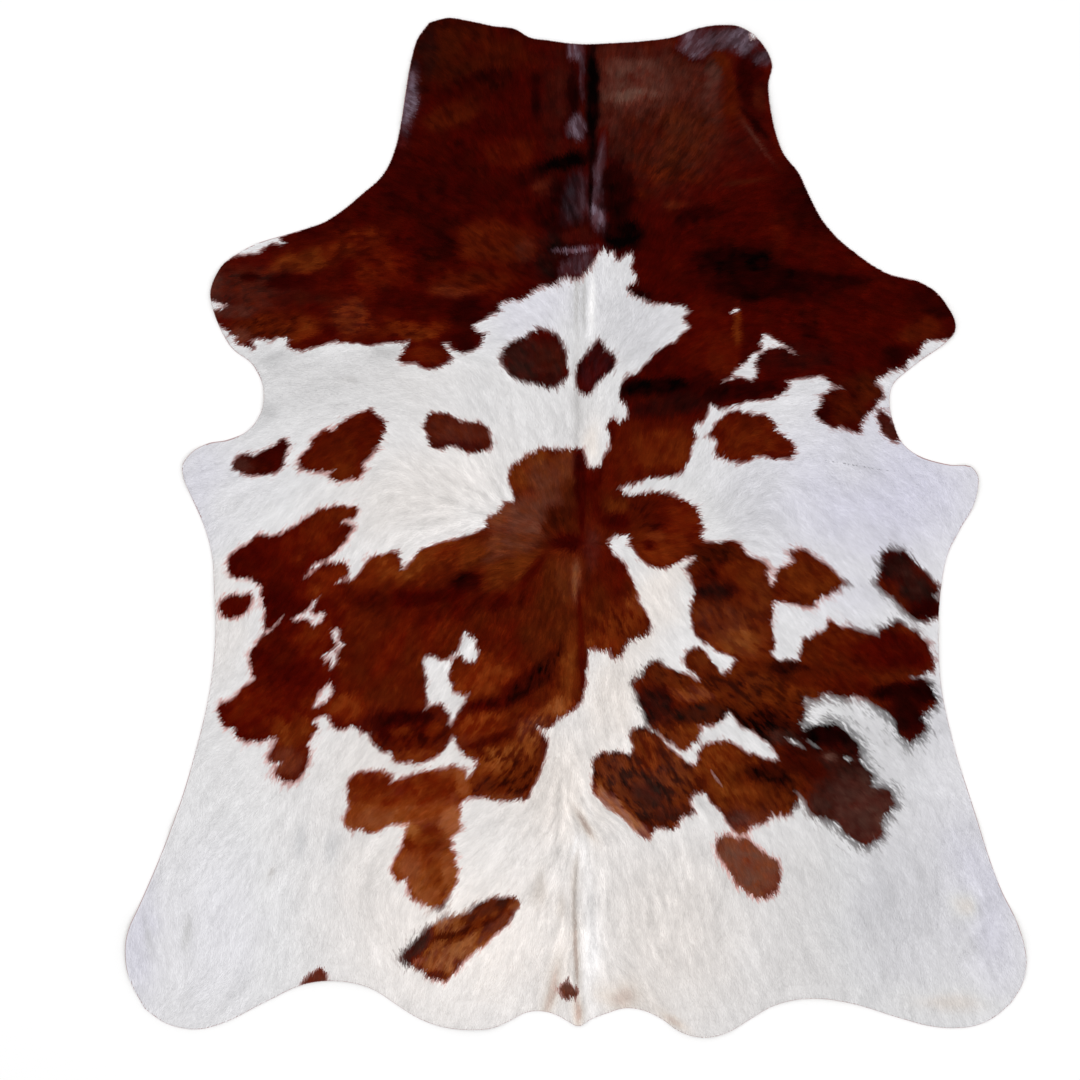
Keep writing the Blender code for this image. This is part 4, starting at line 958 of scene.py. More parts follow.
# Noise that moves the spots at which outlines and ovals are read: its strength and size in pixels, and
# the first of its two seeds. The outlines' strengths are parts of OUTLINE_WANDER, in pixels.
OUTLINE_WANDER = 1.1
OUTLINE_DRIFTS = ((1, 9, 21), (0.8, 4, 23))
WHITE_DRIFTS = ((8, 22, 31),)
BROWN_DRIFTS = ((4, 22, 61), (3, 8, 63), (1.6, 3.5, 65))

# Lists of ovals, with how suddenly each oval ends and the values of the coat that they are laid on.
Painting = namedtuple("Painting", "rows power start")
UNKEMPT = Painting(ROUGHNESS, 2.0, {"rough": 1.0})
RIMS = Painting(HALOS, 3.0, {"width": 1.8, "pink": 0.5})
WHITES = Painting(TINTS, 1.6, {"warmth": 0.0, "light": 0.0})
BROWNS = Painting(HUES, 3.5, {"tone": 0.4, "olive": 0.0, "bloom": 0.0, "flecks": 0.0})

# Noise drawn out along the hair: its size and how far it is drawn out each way, in pixels, and its seed.
Drawn = namedtuple("Drawn", "size reach seed")
WISPS, WISPS_LIGHT = Drawn(4.0, 9, 35), 0.11
BROAD_WISPS, BROAD_WISPS_LIGHT = Drawn(8.0, 18, 36), 0.10
BROWN_STRANDS, BROWN_STRANDS_TONE = Drawn(2.6, 6, 55), 0.008
FLECK_STREAKS = Drawn(2.6, 5, 53)

# Mottles, as layers of noise: the strength of each, its size in pixels, or its sizes across and down,
# and its seed.
TONE_MOTTLE = ((0.045, (15, 11), 51), (0.045, (6, 8), 52), (0.035, (6, 3.5), 56))
OLIVE_MOTTLE = ((0.2, 12, 57),)
TAUPE_MOTTLE = ((0.45, (9, 5), 54), (0.4, 3.2, 59))
FLECK_MOTTLE = ((0.8, (7, 4), 58),)
FLECK_STREAKS_STRENGTH = 0.8
FLECK_START, FLECK_SPAN = -0.24, 1.2  # the noise at which flecks start, and from there to their darkest
FLECK_MEAN = 0.3  # how dark the flecks are on average, which is taken away again
LAVENDER_START, LAVENDER_SPAN = -0.7, 1.6  # the same for the strands that the painted lavender sheen lies on
LAVENDER_LEAST, LAVENDER_STREAKS = 0.4, 0.85  # the painted sheen between those strands, and what they add to it


def photo_spots(places):
    """The photograph's pixels over places on the hide in metres."""
    across = places[..., 0] - HIDE_MIDDLE[0]
    down = HIDE_MIDDLE[1] - places[..., 1]
    return np.stack((across, down), axis=-1) / PIXEL + PHOTO_HIDE_MIDDLE


def s_curve(part):
    """A soft step: 0 up to 0, 1 from 1 on, and an S-shaped rise between them."""
    part = np.clip(part, 0, 1)
    return part * part * (3 - 2 * part)


def mottle(spots, size, seed):
    """Smooth noise from -1 to 1: chance values on a square lattice of that size in pixels, blended
    between the four corners round each spot by an S-shaped curve. The size may differ across and down."""
    size = np.broadcast_to(np.array(size, float), (2,))
    counts = (PHOTO_SIDE / size).astype(int) + NOISE_BEFORE + NOISE_AFTER
    lattice = np.random.default_rng(seed).uniform(-1, 1, counts)
    at = spots / size + NOISE_BEFORE
    cell = np.clip(np.floor(at).astype(int), 0, counts - 2)
    return blend_corners(lattice, cell, s_curve(at - cell))


def mottles(spots, layers):
    """Layers of noise added up, each with its strength, its size and its seed."""
    return sum(strength * mottle(spots, size, seed) for strength, size, seed in layers)


def drift(spots, layers):
    """How far noise moves each spot in X and Y. Each layer has its own seed for X and the next for Y."""
    across = mottles(spots, layers)
    down = mottles(spots, [(strength, size, seed + 1) for strength, size, seed in layers])
    return np.stack((across, down), axis=-1)


def drawn_out(spots, ahead, noise):
    """Fine noise drawn out along the hair: its mean over even steps along the way the hair lies, from
    one reach behind each spot to one reach ahead, brought back to a spread of about 1."""
    steps = np.linspace(-noise.reach, noise.reach, DRAWN_STEPS)
    total = sum(mottle(spots + step * ahead, noise.size, noise.seed) for step in steps)
    return total / max(total.std(), TINY)


def oval_weight(spots, wander, row, power):
    """A soft oval's weight: near 1 inside its reach, one half at its reach and near 0 beyond it. The
    higher the power, the more sudden that change is. The oval is read at spots moved by the wander, and
    by less of it the narrower the oval is, which makes its edge ragged."""
    spots = spots + wander * min(row.along, row.across, BROAD_OVAL) / BROAD_OVAL
    turn = np.radians(row.turn)
    right, up = spots[:, 0] - row.x, row.y - spots[:, 1]
    along = (right * np.cos(turn) + up * np.sin(turn)) / row.along
    across = (up * np.cos(turn) - right * np.sin(turn)) / row.across
    return 1 / (1 + (along**2 + across**2) ** power)


def paint(spots, wander, painting):
    """Lays a painting's ovals over one another in order, and gives back one array for each value."""
    painted = [np.full(len(spots), first) for first in painting.start.values()]
    for row in painting.rows:
        weight = oval_weight(spots, wander, row, painting.power)
        for layer, value in zip(painted, painting.start):
            layer += (getattr(row, value) - layer) * weight
    return painted


def combed_way(spots):
    """The way the hair's tips point at each spot, as unit steps in X and Y: the readings' directions,
    each weighed by one over the square of its distance squared plus COMBING_REACH squared."""
    right, up = np.zeros(len(spots)), np.zeros(len(spots))
    for row in COMBING:
        distance_squared = (spots[:, 0] - row.x) ** 2 + (spots[:, 1] - row.y) ** 2
        weight = 1 / (distance_squared + COMBING_REACH**2) ** 2
        right += weight * np.cos(np.radians(row.heading))
        up += weight * np.sin(np.radians(row.heading))
    return np.stack((right, up), axis=-1) / np.maximum(np.hypot(right, up), TINY)[:, None]


def way_into_brown(spots):
    """How far each spot lies inside the brown, in pixels: inside any brown patch and in no white gap."""
    spots = spots + OUTLINE_WANDER * drift(spots, OUTLINE_DRIFTS)
    brown = np.full(len(spots), -PATCH_MARGIN)
    for patches, sign in ((BROWN_PATCHES, 1), (WHITE_GAPS, -1)):
        for patch in patches:
            ring = np.array(patch.outline, float).reshape(-1, 2)
            low, high = ring.min(axis=0) - PATCH_MARGIN, ring.max(axis=0) + PATCH_MARGIN
            near = ((spots > low) & (spots < high)).all(axis=1)
            way = way_inside(spots[near], ring)
            brown[near] = np.maximum(brown[near], way) if sign > 0 else np.minimum(brown[near], -way)
    return brown.clip(-PATCH_MARGIN, PATCH_MARGIN)


class Survey:
    """The coat as read once on three lattices over the hide, from which it is read at any place after."""

    def __init__(self):
        self.low = photo_spots(np.array((HIDE_LOW[0], HIDE_HIGH[1]))) - SURVEY_MARGIN
        self.high = photo_spots(np.array((HIDE_HIGH[0], HIDE_LOW[1]))) + SURVEY_MARGIN
        self.layers = {}
        spots, _ = self.lattice(FINE_STEP)
        self.keep(FINE_STEP, way=way_into_brown(spots))

        spots, _ = self.lattice(BROAD_STEP)
        comb = combed_way(spots)
        self.keep(BROAD_STEP, comb_x=comb[:, 0], comb_y=comb[:, 1])
        ahead = comb * PHOTO_WAY
        wisps = WISPS_LIGHT * drawn_out(spots, ahead, WISPS)
        broad_wisps = BROAD_WISPS_LIGHT * drawn_out(spots, ahead, BROAD_WISPS)
        rough, = paint(spots, 0, UNKEMPT)
        halo, pink = paint(spots, 0, RIMS)
        self.keep(BROAD_STEP, rough=rough, streaks=(wisps + broad_wisps) * rough, halo=halo, pink=pink)

        spots, _ = self.lattice(HUE_STEP)
        warmth, light = paint(spots, drift(spots, WHITE_DRIFTS), WHITES)
        self.keep(HUE_STEP, warmth=warmth, light=light + self.read("streaks", spots))
        self.survey_browns(spots)

    def survey_browns(self, spots):
        """Paints the ovals of the browns with ragged edges, and breaks them up by soft blotches and by
        dark flecks drawn out along the hair. Taupe bloom is speckled, and the lavender sheen, painted
        into the colour, is streaked."""
        ahead = self.comb(spots) * PHOTO_WAY
        tone, olive, bloom, flecks = paint(spots, drift(spots, BROWN_DRIFTS), BROWNS)
        fleck = FLECK_STREAKS_STRENGTH * drawn_out(spots, ahead, FLECK_STREAKS)
        fleck = s_curve((fleck + mottles(spots, FLECK_MOTTLE) - FLECK_START) / FLECK_SPAN)
        strands = drawn_out(spots, ahead, BROWN_STRANDS)
        tone += mottles(spots, TONE_MOTTLE)
        tone += BROWN_STRANDS_TONE * strands - flecks * (fleck - FLECK_MEAN)
        speckled = 1 + mottles(spots, TAUPE_MOTTLE)
        streaked = s_curve((strands - LAVENDER_START) / LAVENDER_SPAN)
        streaked = LAVENDER_LEAST + LAVENDER_STREAKS * streaked
        bloom *= np.where(bloom > 0, speckled, streaked)
        olive += mottles(spots, OLIVE_MOTTLE)
        self.keep(HUE_STEP, tone=tone.clip(0, 1), olive=olive.clip(0, 1), bloom=bloom)

    def lattice(self, step):
        """Spots that far apart over the whole hide, in one list, and how many there are each way."""
        counts = np.ceil((self.high - self.low) / step).astype(int) + 1
        across, down = np.meshgrid(np.arange(counts[0]), np.arange(counts[1]), indexing="ij")
        return np.stack((across, down), axis=-1).reshape(-1, 2) * step + self.low, counts

    def keep(self, step, **layers):
        _, counts = self.lattice(step)
        for name, values in layers.items():
            self.layers[name] = (step, values.reshape(counts))

    def read(self, name, spots):
        """A layer's value at each spot, blended between the four lattice spots round it."""
        step, layer = self.layers[name]
        at = (spots - self.low) / step
        cell = np.clip(np.floor(at).astype(int), 0, np.array(layer.shape) - 2)
        return blend_corners(layer, cell, (at - cell).clip(0, 1))

    def comb(self, spots):
        """The way the hair lies, as unit steps in X and Y."""
        way = np.stack((self.read("comb_x", spots), self.read("comb_y", spots)), axis=-1)
        return way / np.maximum(np.linalg.norm(way, axis=-1, keepdims=True), TINY)

    def coat(self, spots, rim_shift=0.0):
        """The coat's values at each spot, with the brown's rim read as far away as the shift says."""
        values = {name: self.read(name, spots) for name in COAT_VALUES if name in self.layers}
        values["way"] = self.read("way", spots + rim_shift)
        return values


@functools.cache
def survey_of_coat():
    return Survey()


# ---------------------------------------------------------------------------------------------------
# Materials
# ---------------------------------------------------------------------------------------------------

MIX_FIRST, MIX_SECOND, MIX_RESULT = 6, 7, 2  # the colour sockets of a mix node
COAT_VALUES = ("way", "halo", "pink", "tone", "olive", "bloom", "warmth", "light", "shade")
FADING = (-1, -0.25)  # where a halo starts and where it is strongest, in its widths from the patch's rim

# The browns, and the tone at which each is reached.
TONE_STOPS = {
    "black": 0.0, "dark_mahogany": 0.15, "mahogany": 0.34, "chestnut": 0.5, "russet": 0.65, "ginger": 0.8,
    "pale_ginger": 1.0,
}

# Roughness and strength of reflection.
SUEDE_FINISH = (0.9, 0.1)
EDGE_FINISH = (0.75, 0.15)
FLOOR_FINISH = (0.95, 0.0)

# The nap of the suede: how fine its noise is, how strong its bumps look and how high they are in metres.
NAP_SCALE, NAP_STRENGTH, NAP_HEIGHT = 420, 0.25, 0.0004


def add_node(tree, kind, **settings):
    node = tree.nodes.new(kind)
    for name, value in settings.items():
        setattr(node, name, value)
    return node


def feed(tree, value, socket):
    """Links another socket to this one, or sets it where the value is a plain number or colour."""
    if isinstance(value, bpy.types.NodeSocket):
        tree.links.new(value, socket)
    else:
        socket.default_value = value


def mix_colours(tree, part, first, second):
    mix = add_node(tree, "ShaderNodeMix", data_type="RGBA", clamp_factor=True)
    feed(tree, part, mix.inputs["Factor"])
    feed(tree, first, mix.inputs[MIX_FIRST])
    feed(tree, second, mix.inputs[MIX_SECOND])
    return mix.outputs[MIX_RESULT]


def part_between(tree, value, low, high):
    """0 where the value is at or below low, 1 at or above high, and even between them."""
    span = add_node(tree, "ShaderNodeMapRange", clamp=True)
    feed(tree, value, span.inputs["Value"])
    span.inputs["From Min"].default_value = low
    span.inputs["From Max"].default_value = high
    return span.outputs["Result"]


def reckon(tree, operation, first, second):
    sum_node = add_node(tree, "ShaderNodeMath", operation=operation)
    feed(tree, first, sum_node.inputs[0])
    feed(tree, second, sum_node.inputs[1])
    return sum_node.outputs[0]


def read_value(tree, name):
    return add_node(tree, "ShaderNodeAttribute", attribute_name=name).outputs["Fac"]


def coat_group(colours):
    """The coat's colour.

    The brown runs through its steps by tone, gains green and blue in step with its red as it turns
    olive, and takes the taupe bloom over that, or a lavender sheen painted into the colour. The white
    turns to cream and tan, or to lavender, by its warmth, and lighter or darker by its light, which on
    some rows is painted shade or highlight. The way into a patch chooses between the two, with a brown,
    pink or grey halo that thins out into the white. The shade then lightens or darkens each lock, and
    darkens its root and the undercoat as painted shade.
    """
    tree = bpy.data.node_groups.new("coat colour", "ShaderNodeTree")
    for name in COAT_VALUES:
        tree.interface.new_socket(name, in_out="INPUT", socket_type="NodeSocketFloat")
    tree.interface.new_socket("Color", in_out="OUTPUT", socket_type="NodeSocketColor")
    inner = add_node(tree, "NodeGroupInput").outputs
    outer = add_node(tree, "NodeGroupOutput")

    stops = list(TONE_STOPS.values())
    steps = [(*getattr(colours, name), 1) for name in TONE_STOPS]
    brown = steps[0]
    for low, high, colour in zip(stops, stops[1:], steps[1:]):
        brown = mix_colours(tree, part_between(tree, inner["tone"], low, high), brown, colour)
    red = add_node(tree, "ShaderNodeSeparateColor")
    feed(tree, brown, red.inputs["Color"])
    olive = reckon(tree, "MULTIPLY", inner["olive"], red.outputs["Red"])
    turned = add_node(tree, "ShaderNodeVectorMath", operation="MULTIPLY_ADD")
    feed(tree, olive, turned.inputs[0])
    feed(tree, tuple(colours.olive), turned.inputs[1])
    feed(tree, brown, turned.inputs[2])
    brown = mix_colours(tree, inner["bloom"], turned.outputs[0], (*colours.taupe, 1))
    # Painted sheen: below 0, this mix turns the brown toward a lavender reflection painted into its
    # colour.
    lavender_sheen = reckon(tree, "MULTIPLY", inner["bloom"], -1.0)
    brown = mix_colours(tree, lavender_sheen, brown, (*colours.lavender_sheen, 1))

    cream_part = part_between(tree, inner["warmth"], 0, 1)
    lavender_part = part_between(tree, reckon(tree, "MULTIPLY", inner["warmth"], -1.0), 0, 1)
    white = mix_colours(tree, cream_part, (*colours.white, 1), (*colours.cream, 1))
    tan_part = part_between(tree, inner["warmth"], 1, 2)
    white = mix_colours(tree, tan_part, white, (*colours.tan, 1))
    white = mix_colours(tree, lavender_part, white, (*colours.lavender, 1))
    lightness = reckon(tree, "MULTIPLY", inner["light"], colours.white_range)
    lightness = reckon(tree, "ADD", lightness, 1.0)
    lighten = add_node(tree, "ShaderNodeVectorMath", operation="SCALE")
    feed(tree, white, lighten.inputs[0])
    feed(tree, lightness, lighten.inputs["Scale"])

    inside = part_between(tree, inner["way"], -colours.rim_width / 2, colours.rim_width / 2)
    fading = part_between(tree, reckon(tree, "DIVIDE", inner["way"], inner["halo"]), *FADING)
    fading = reckon(tree, "MULTIPLY", fading, colours.halo_strength)
    cover = reckon(tree, "MAXIMUM", inside, fading)

    pinkness = reckon(tree, "MULTIPLY", inner["pink"], colours.halo_pink)
    halo_colour = mix_colours(tree, pinkness, brown, (*colours.halo, 1))
    greyness = reckon(tree, "MULTIPLY", inner["pink"], -1.0)
    halo_colour = mix_colours(tree, greyness, halo_colour, (*colours.grey_halo, 1))
    hair = mix_colours(tree, fading, lighten.outputs[0], halo_colour)
    hair = mix_colours(tree, inside, hair, brown)
    lock_range = reckon(tree, "MULTIPLY", cover, colours.brown_shade - colours.white_shade)
    lock_range = reckon(tree, "ADD", lock_range, colours.white_shade)
    lock_light = reckon(tree, "MULTIPLY", inner["shade"], lock_range)
    lock_light = reckon(tree, "ADD", lock_light, 1.0)
    shade = add_node(tree, "ShaderNodeVectorMath", operation="SCALE")
    feed(tree, hair, shade.inputs[0])
    feed(tree, lock_light, shade.inputs["Scale"])
    tree.links.new(shade.outputs[0], outer.inputs["Color"])
    return tree


def new_material(name, colour, roughness, specular):
    material = bpy.data.materials.new(name)
    material.use_nodes = True
    shader = material.node_tree.nodes["Principled BSDF"]
    shader.inputs["Base Color"].default_value = (*colour, 1)
    shader.inputs["Roughness"].default_value = roughness
    shader.inputs["Specular IOR Level"].default_value = specular
    material.diffuse_color = (*colour, 1)
    return material, shader


def coat_material(name, colours):
    """Hair whose colour comes from the coat's values, which the mesh carries at its points."""
    group = bpy.data.node_groups.get("coat colour") or coat_group(colours)
    material, shader = new_material(name, colours.chestnut, colours.roughness, colours.gloss)
    tree = material.node_tree
    coat = add_node(tree, "ShaderNodeGroup", node_tree=group)
    for value in COAT_VALUES:
        tree.links.new(read_value(tree, value), coat.inputs[value])
    tree.links.new(coat.outputs["Color"], shader.inputs["Base Color"])
    return material


def suede_material(colours):
    """The flesh side: pale suede with a fine nap, made by small noise in object coordinates."""
    material, shader = new_material("suede underside", colours.suede, *SUEDE_FINISH)
    tree = material.node_tree
    where = add_node(tree, "ShaderNodeTexCoord").outputs["Object"]
    nap = add_node(tree, "ShaderNodeTexNoise")
    nap.inputs["Scale"].default_value = NAP_SCALE
    tree.links.new(where, nap.inputs["Vector"])
    bump = add_node(tree, "ShaderNodeBump")
    bump.inputs["Strength"].default_value = NAP_STRENGTH
    bump.inputs["Distance"].default_value = NAP_HEIGHT
    tree.links.new(nap.outputs["Fac"], bump.inputs["Height"])
    tree.links.new(bump.outputs["Normal"], shader.inputs["Normal"])
    return material


# ---------------------------------------------------------------------------------------------------
# Meshes
# ---------------------------------------------------------------------------------------------------

UNDERCOAT_MATERIAL, EDGE_MATERIAL, SUEDE_MATERIAL = range(3)  # the order of the skin's materials
UNDERCOAT_SHADE = -0.6  # painted shade: how much darker the undercoat is drawn where it lies under and between the locks

HAIR_NAMES = ("hair_neck", "hair_shoulders", "hair_ribs", "hair_flanks", "hair_hind_legs")
ROOT_SCATTER = 0.42  # how far chance moves a root each way, as a part of the spacing
SIZE_CHANCE = 0.25  # how far chance changes a lock's length and width, as a part of them
SWIRL_MOTTLE = ((1, 34, 41), (0.7, 13, 42))  # in parts of the swirl
LENGTH_MOTTLE = ((0.08, 30, 43),)  # in parts of a lock's length
LEAST_LENGTH = 0.1  # part of its length that a lock keeps at the cut edge
RIDGE_PLACE = 0.2  # where a lock has its ridge, as a part of its length from the root
COLOUR_PLACE = 0.6  # where the coat is read for a lock's colour, in the same way

# The height of a lock's tip, in parts of the tip's own setting: in the lowest tuft, what is added up to
# the highest one, and by how much chance changes it.
TUFTS, TUFTS_MOST = Drawn(5.0, 14, 44), 1.6
TIP_LEAST, TIP_IN_TUFT, TIP_CHANCE = 0.45, 0.55, 0.25

# The shade of a lock: by its own chance, by strands, and by long strands where the coat is unkempt. Then
# the painted shade of its four corners, in parts of the root shade: darkest at the root, which lies under
# the tips of the locks before it, and a little lighter at the tip.
STRANDS, LONG_STRANDS = Drawn(2.2, 4, 46), Drawn(2.8, 9, 49)
SHADE_CHANCE, SHADE_STRANDS, SHADE_LONG_STRANDS = 0.25, 0.45, 0.45
SHADE_MOST = 2  # spreads beyond which chance and strands no longer count
CORNER_SHADES = np.array((-1.0, -1.0, -0.5, 0.25))

# How far a lock carries the colours over a patch's rim: in small and broad tufts, each by its strength,
# and by chance, all in parts of the fringe. The feather then moves single locks.
RIM_TUFTS, RIM_TUFTS_STRENGTH = Drawn(3.6, 6, 45), 0.18
BROAD_RIM_TUFTS, BROAD_RIM_TUFTS_STRENGTH = Drawn(8.0, 9, 48), 0.2
RIM_TUFTS_MOST, RIM_CHANCE = 0.6, 0.25
FEATHERS, FEATHERS_STRENGTH, FEATHERS_CHANCE = Drawn(2.0, 5, 47), 0.8, 0.5
HALO_LEAST, HALO_MOST = 0.2, 2.2  # the least and the most of its width that a halo gets at a lock


def new_piece(name, points, faces, materials, values):
    """An object at the origin from an array of points and one of faces that all have as many corners,
    with the named values set at its points."""
    mesh = bpy.data.meshes.new(name)
    sides = faces.shape[1]
    mesh.vertices.add(len(points))
    mesh.vertices.foreach_set("co", points.astype(np.float32).ravel())
    mesh.loops.add(faces.size)
    mesh.loops.foreach_set("vertex_index", faces.astype(np.int32).ravel())
    mesh.polygons.add(len(faces))
    mesh.polygons.foreach_set("loop_start", np.arange(0, faces.size, sides, dtype=np.int32))
    for value_name, value in values.items():
        layer = mesh.attributes.new(value_name, "FLOAT", "POINT")
        layer.data.foreach_set("value", value.astype(np.float32))
    for material in materials:
        mesh.materials.append(material)
    mesh.update(calc_edges=True)
    if mesh.validate():
        raise RuntimeError(f"the mesh of {name} isn't sound")
    mesh.shade_flat()
    piece = bpy.data.objects.new(name, mesh)
    bpy.context.scene.collection.objects.link(piece)
    return piece


def make_skin(skin, survey):
    """The leather with its short undercoat: the grid as the top and again as the underside, closed by a
    wall along the cut edge, where the top slopes down to leave the leather bare."""
    places = plan_to_places(PLAN)
    rows, columns = places.shape[:2]
    lift = fold_lift(places)
    edge = way_to_cut_edge(rim_of(places))(places)
    edge[[0, -1], :] = 0
    edge[:, [0, -1]] = 0
    leather = skin.leather * (1 - skin.bevel * (1 - s_curve(edge / skin.bevel_width)))
    top = lift + leather + skin.undercoat * s_curve(edge / skin.rim)

    upper = np.dstack((places, top)).reshape(-1, 3)
    lower = np.dstack((places, lift)).reshape(-1, 3)
    index = np.arange(rows * columns).reshape(rows, columns)
    corner, beside = index[:-1, :-1].ravel(), index[:-1, 1:].ravel()
    below, across = index[1:, :-1].ravel(), index[1:, 1:].ravel()
    upper_faces = np.stack((corner, below, across, beside), axis=1)
    lower_faces = np.stack((corner, beside, across, below), axis=1) + rows * columns
    ring = rim_of(index)
    ahead = np.roll(ring, -1)
    wall = np.stack((ring + rows * columns, ahead + rows * columns, ahead, ring), axis=1)
    faces = np.concatenate((upper_faces, lower_faces, wall))

    values = survey.coat(photo_spots(places.reshape(-1, 2)))
    values["shade"] = np.full(rows * columns, UNDERCOAT_SHADE)
    values = {name: np.tile(value, 2) for name, value in values.items()}

    colours = bpy.context.scene.cowhide_colours
    undercoat = coat_material("undercoat", colours)
    edge_leather, _ = new_material("cut leather edge", colours.cut_edge, *EDGE_FINISH)
    piece = new_piece(
        "hide_skin", np.concatenate((upper, lower)), faces,
        (undercoat, edge_leather, suede_material(colours)), values,
    )
    at_rim = edge.ravel()[upper_faces].max(axis=1) < skin.bare_rim
    slots = np.full(len(faces), SUEDE_MATERIAL, np.int32)
    slots[:len(upper_faces)] = np.where(at_rim, EDGE_MATERIAL, UNDERCOAT_MATERIAL)
    slots[-len(wall):] = EDGE_MATERIAL
    piece.data.polygons.foreach_set("material_index", slots)
    piece.data.shade_smooth()
    area = (HIDE_WIDTH * HIDE_LENGTH) / (PLAN_HIGH - PLAN_LOW).prod() * ring_area(rim_of(PLAN))
    return piece, area


def ring_area(ring):
    """The area inside a closed outline that runs against the clock."""
    ahead = np.roll(ring, -1, axis=0)
    return (ring[:, 0] * ahead[:, 1] - ahead[:, 0] * ring[:, 1]).sum() / 2


def scatter_roots(way, hair, chance):
    """Roots in staggered rows over the hide, each moved a little by chance, and none at the cut edge."""
    low, high = HIDE_LOW[:2], HIDE_HIGH[:2]
    row_step = hair.spacing * np.sqrt(3) / 2
    counts = ((high - low) / (hair.spacing, row_step)).astype(int) + 1
    column, row = np.meshgrid(np.arange(counts[0]), np.arange(counts[1]))
    roots = np.stack(((column + 0.5 * (row % 2)) * hair.spacing, row * row_step), axis=-1).reshape(-1, 2)
    roots = roots + low + chance.uniform(-ROOT_SCATTER, ROOT_SCATTER, roots.shape) * hair.spacing
    return roots[way(roots) > hair.bare_edge]


def comb_locks(hair, survey):
    """Every lock's root, forward direction, length and width, and the chance that goes on from them. A
    lock is shorter where it would pass the cut edge, or lie too straight over a fold."""
    chance = np.random.default_rng(hair.chance)
    way = way_to_cut_edge(rim_of(plan_to_places(PLAN)))
    roots = scatter_roots(way, hair, chance)
    roots = roots[np.argsort(-roots[:, 1], kind="stable")]
    count = len(roots)
    spots = photo_spots(roots)

    comb = survey.comb(spots)
    heading = np.arctan2(comb[:, 1], comb[:, 0])
    heading += np.radians(hair.swirl) * mottles(spots, SWIRL_MOTTLE)
    heading += np.radians(hair.disorder) * chance.standard_normal(count)
    forward = np.stack((np.cos(heading), np.sin(heading)), axis=-1)

    length = 1 + SIZE_CHANCE * chance.uniform(-1, 1, count) + mottles(spots, LENGTH_MOTTLE)
    length = hair.length * length
    here, there = way(roots), way(roots + length[:, None] * forward)
    kept = (here + hair.overhang) / np.maximum(here - there, TINY)
    length = np.where(there < -hair.overhang, length * np.clip(kept, LEAST_LENGTH, 1), length)
    tips, middles = roots + length[:, None] * forward, roots + 0.5 * length[:, None] * forward
    hollow = np.abs((fold_lift(roots) + fold_lift(tips)) / 2 - fold_lift(middles))
    length *= np.sqrt(np.minimum(hair.most_hollow / np.maximum(hollow, TINY), 1))
    width = hair.width * (1 + SIZE_CHANCE * chance.uniform(-1, 1, count))
    return roots, forward, length, width, chance


def lock_cells(count):
    """Corners of each lock's own cell in the texture, so that no two locks share any of it."""
    across = int(np.ceil(np.sqrt(count)))
    order = np.arange(count)
    return np.stack((order % across, order // across), axis=-1) / across, 1 / across


# Where a lock's corners lie in its cell: its two upper sides and its root end as one net on the left,
# and its underside beside them, as parts of the cell's width and height.
NET_CORNERS = np.array((
    ((0.06, 0.08), (0.30, 0.24), (0.30, 0.92)),
    ((0.54, 0.08), (0.30, 0.92), (0.30, 0.24)),
    ((0.06, 0.08), (0.54, 0.08), (0.30, 0.24)),
    ((0.62, 0.08), (0.78, 0.92), (0.94, 0.08)),
))
LEFT, RIGHT, RIDGE, TIP = range(4)
LOCK_FACES = np.array(
    ((LEFT, RIDGE, TIP), (RIGHT, TIP, RIDGE), (LEFT, RIGHT, RIDGE), (LEFT, TIP, RIGHT))
)


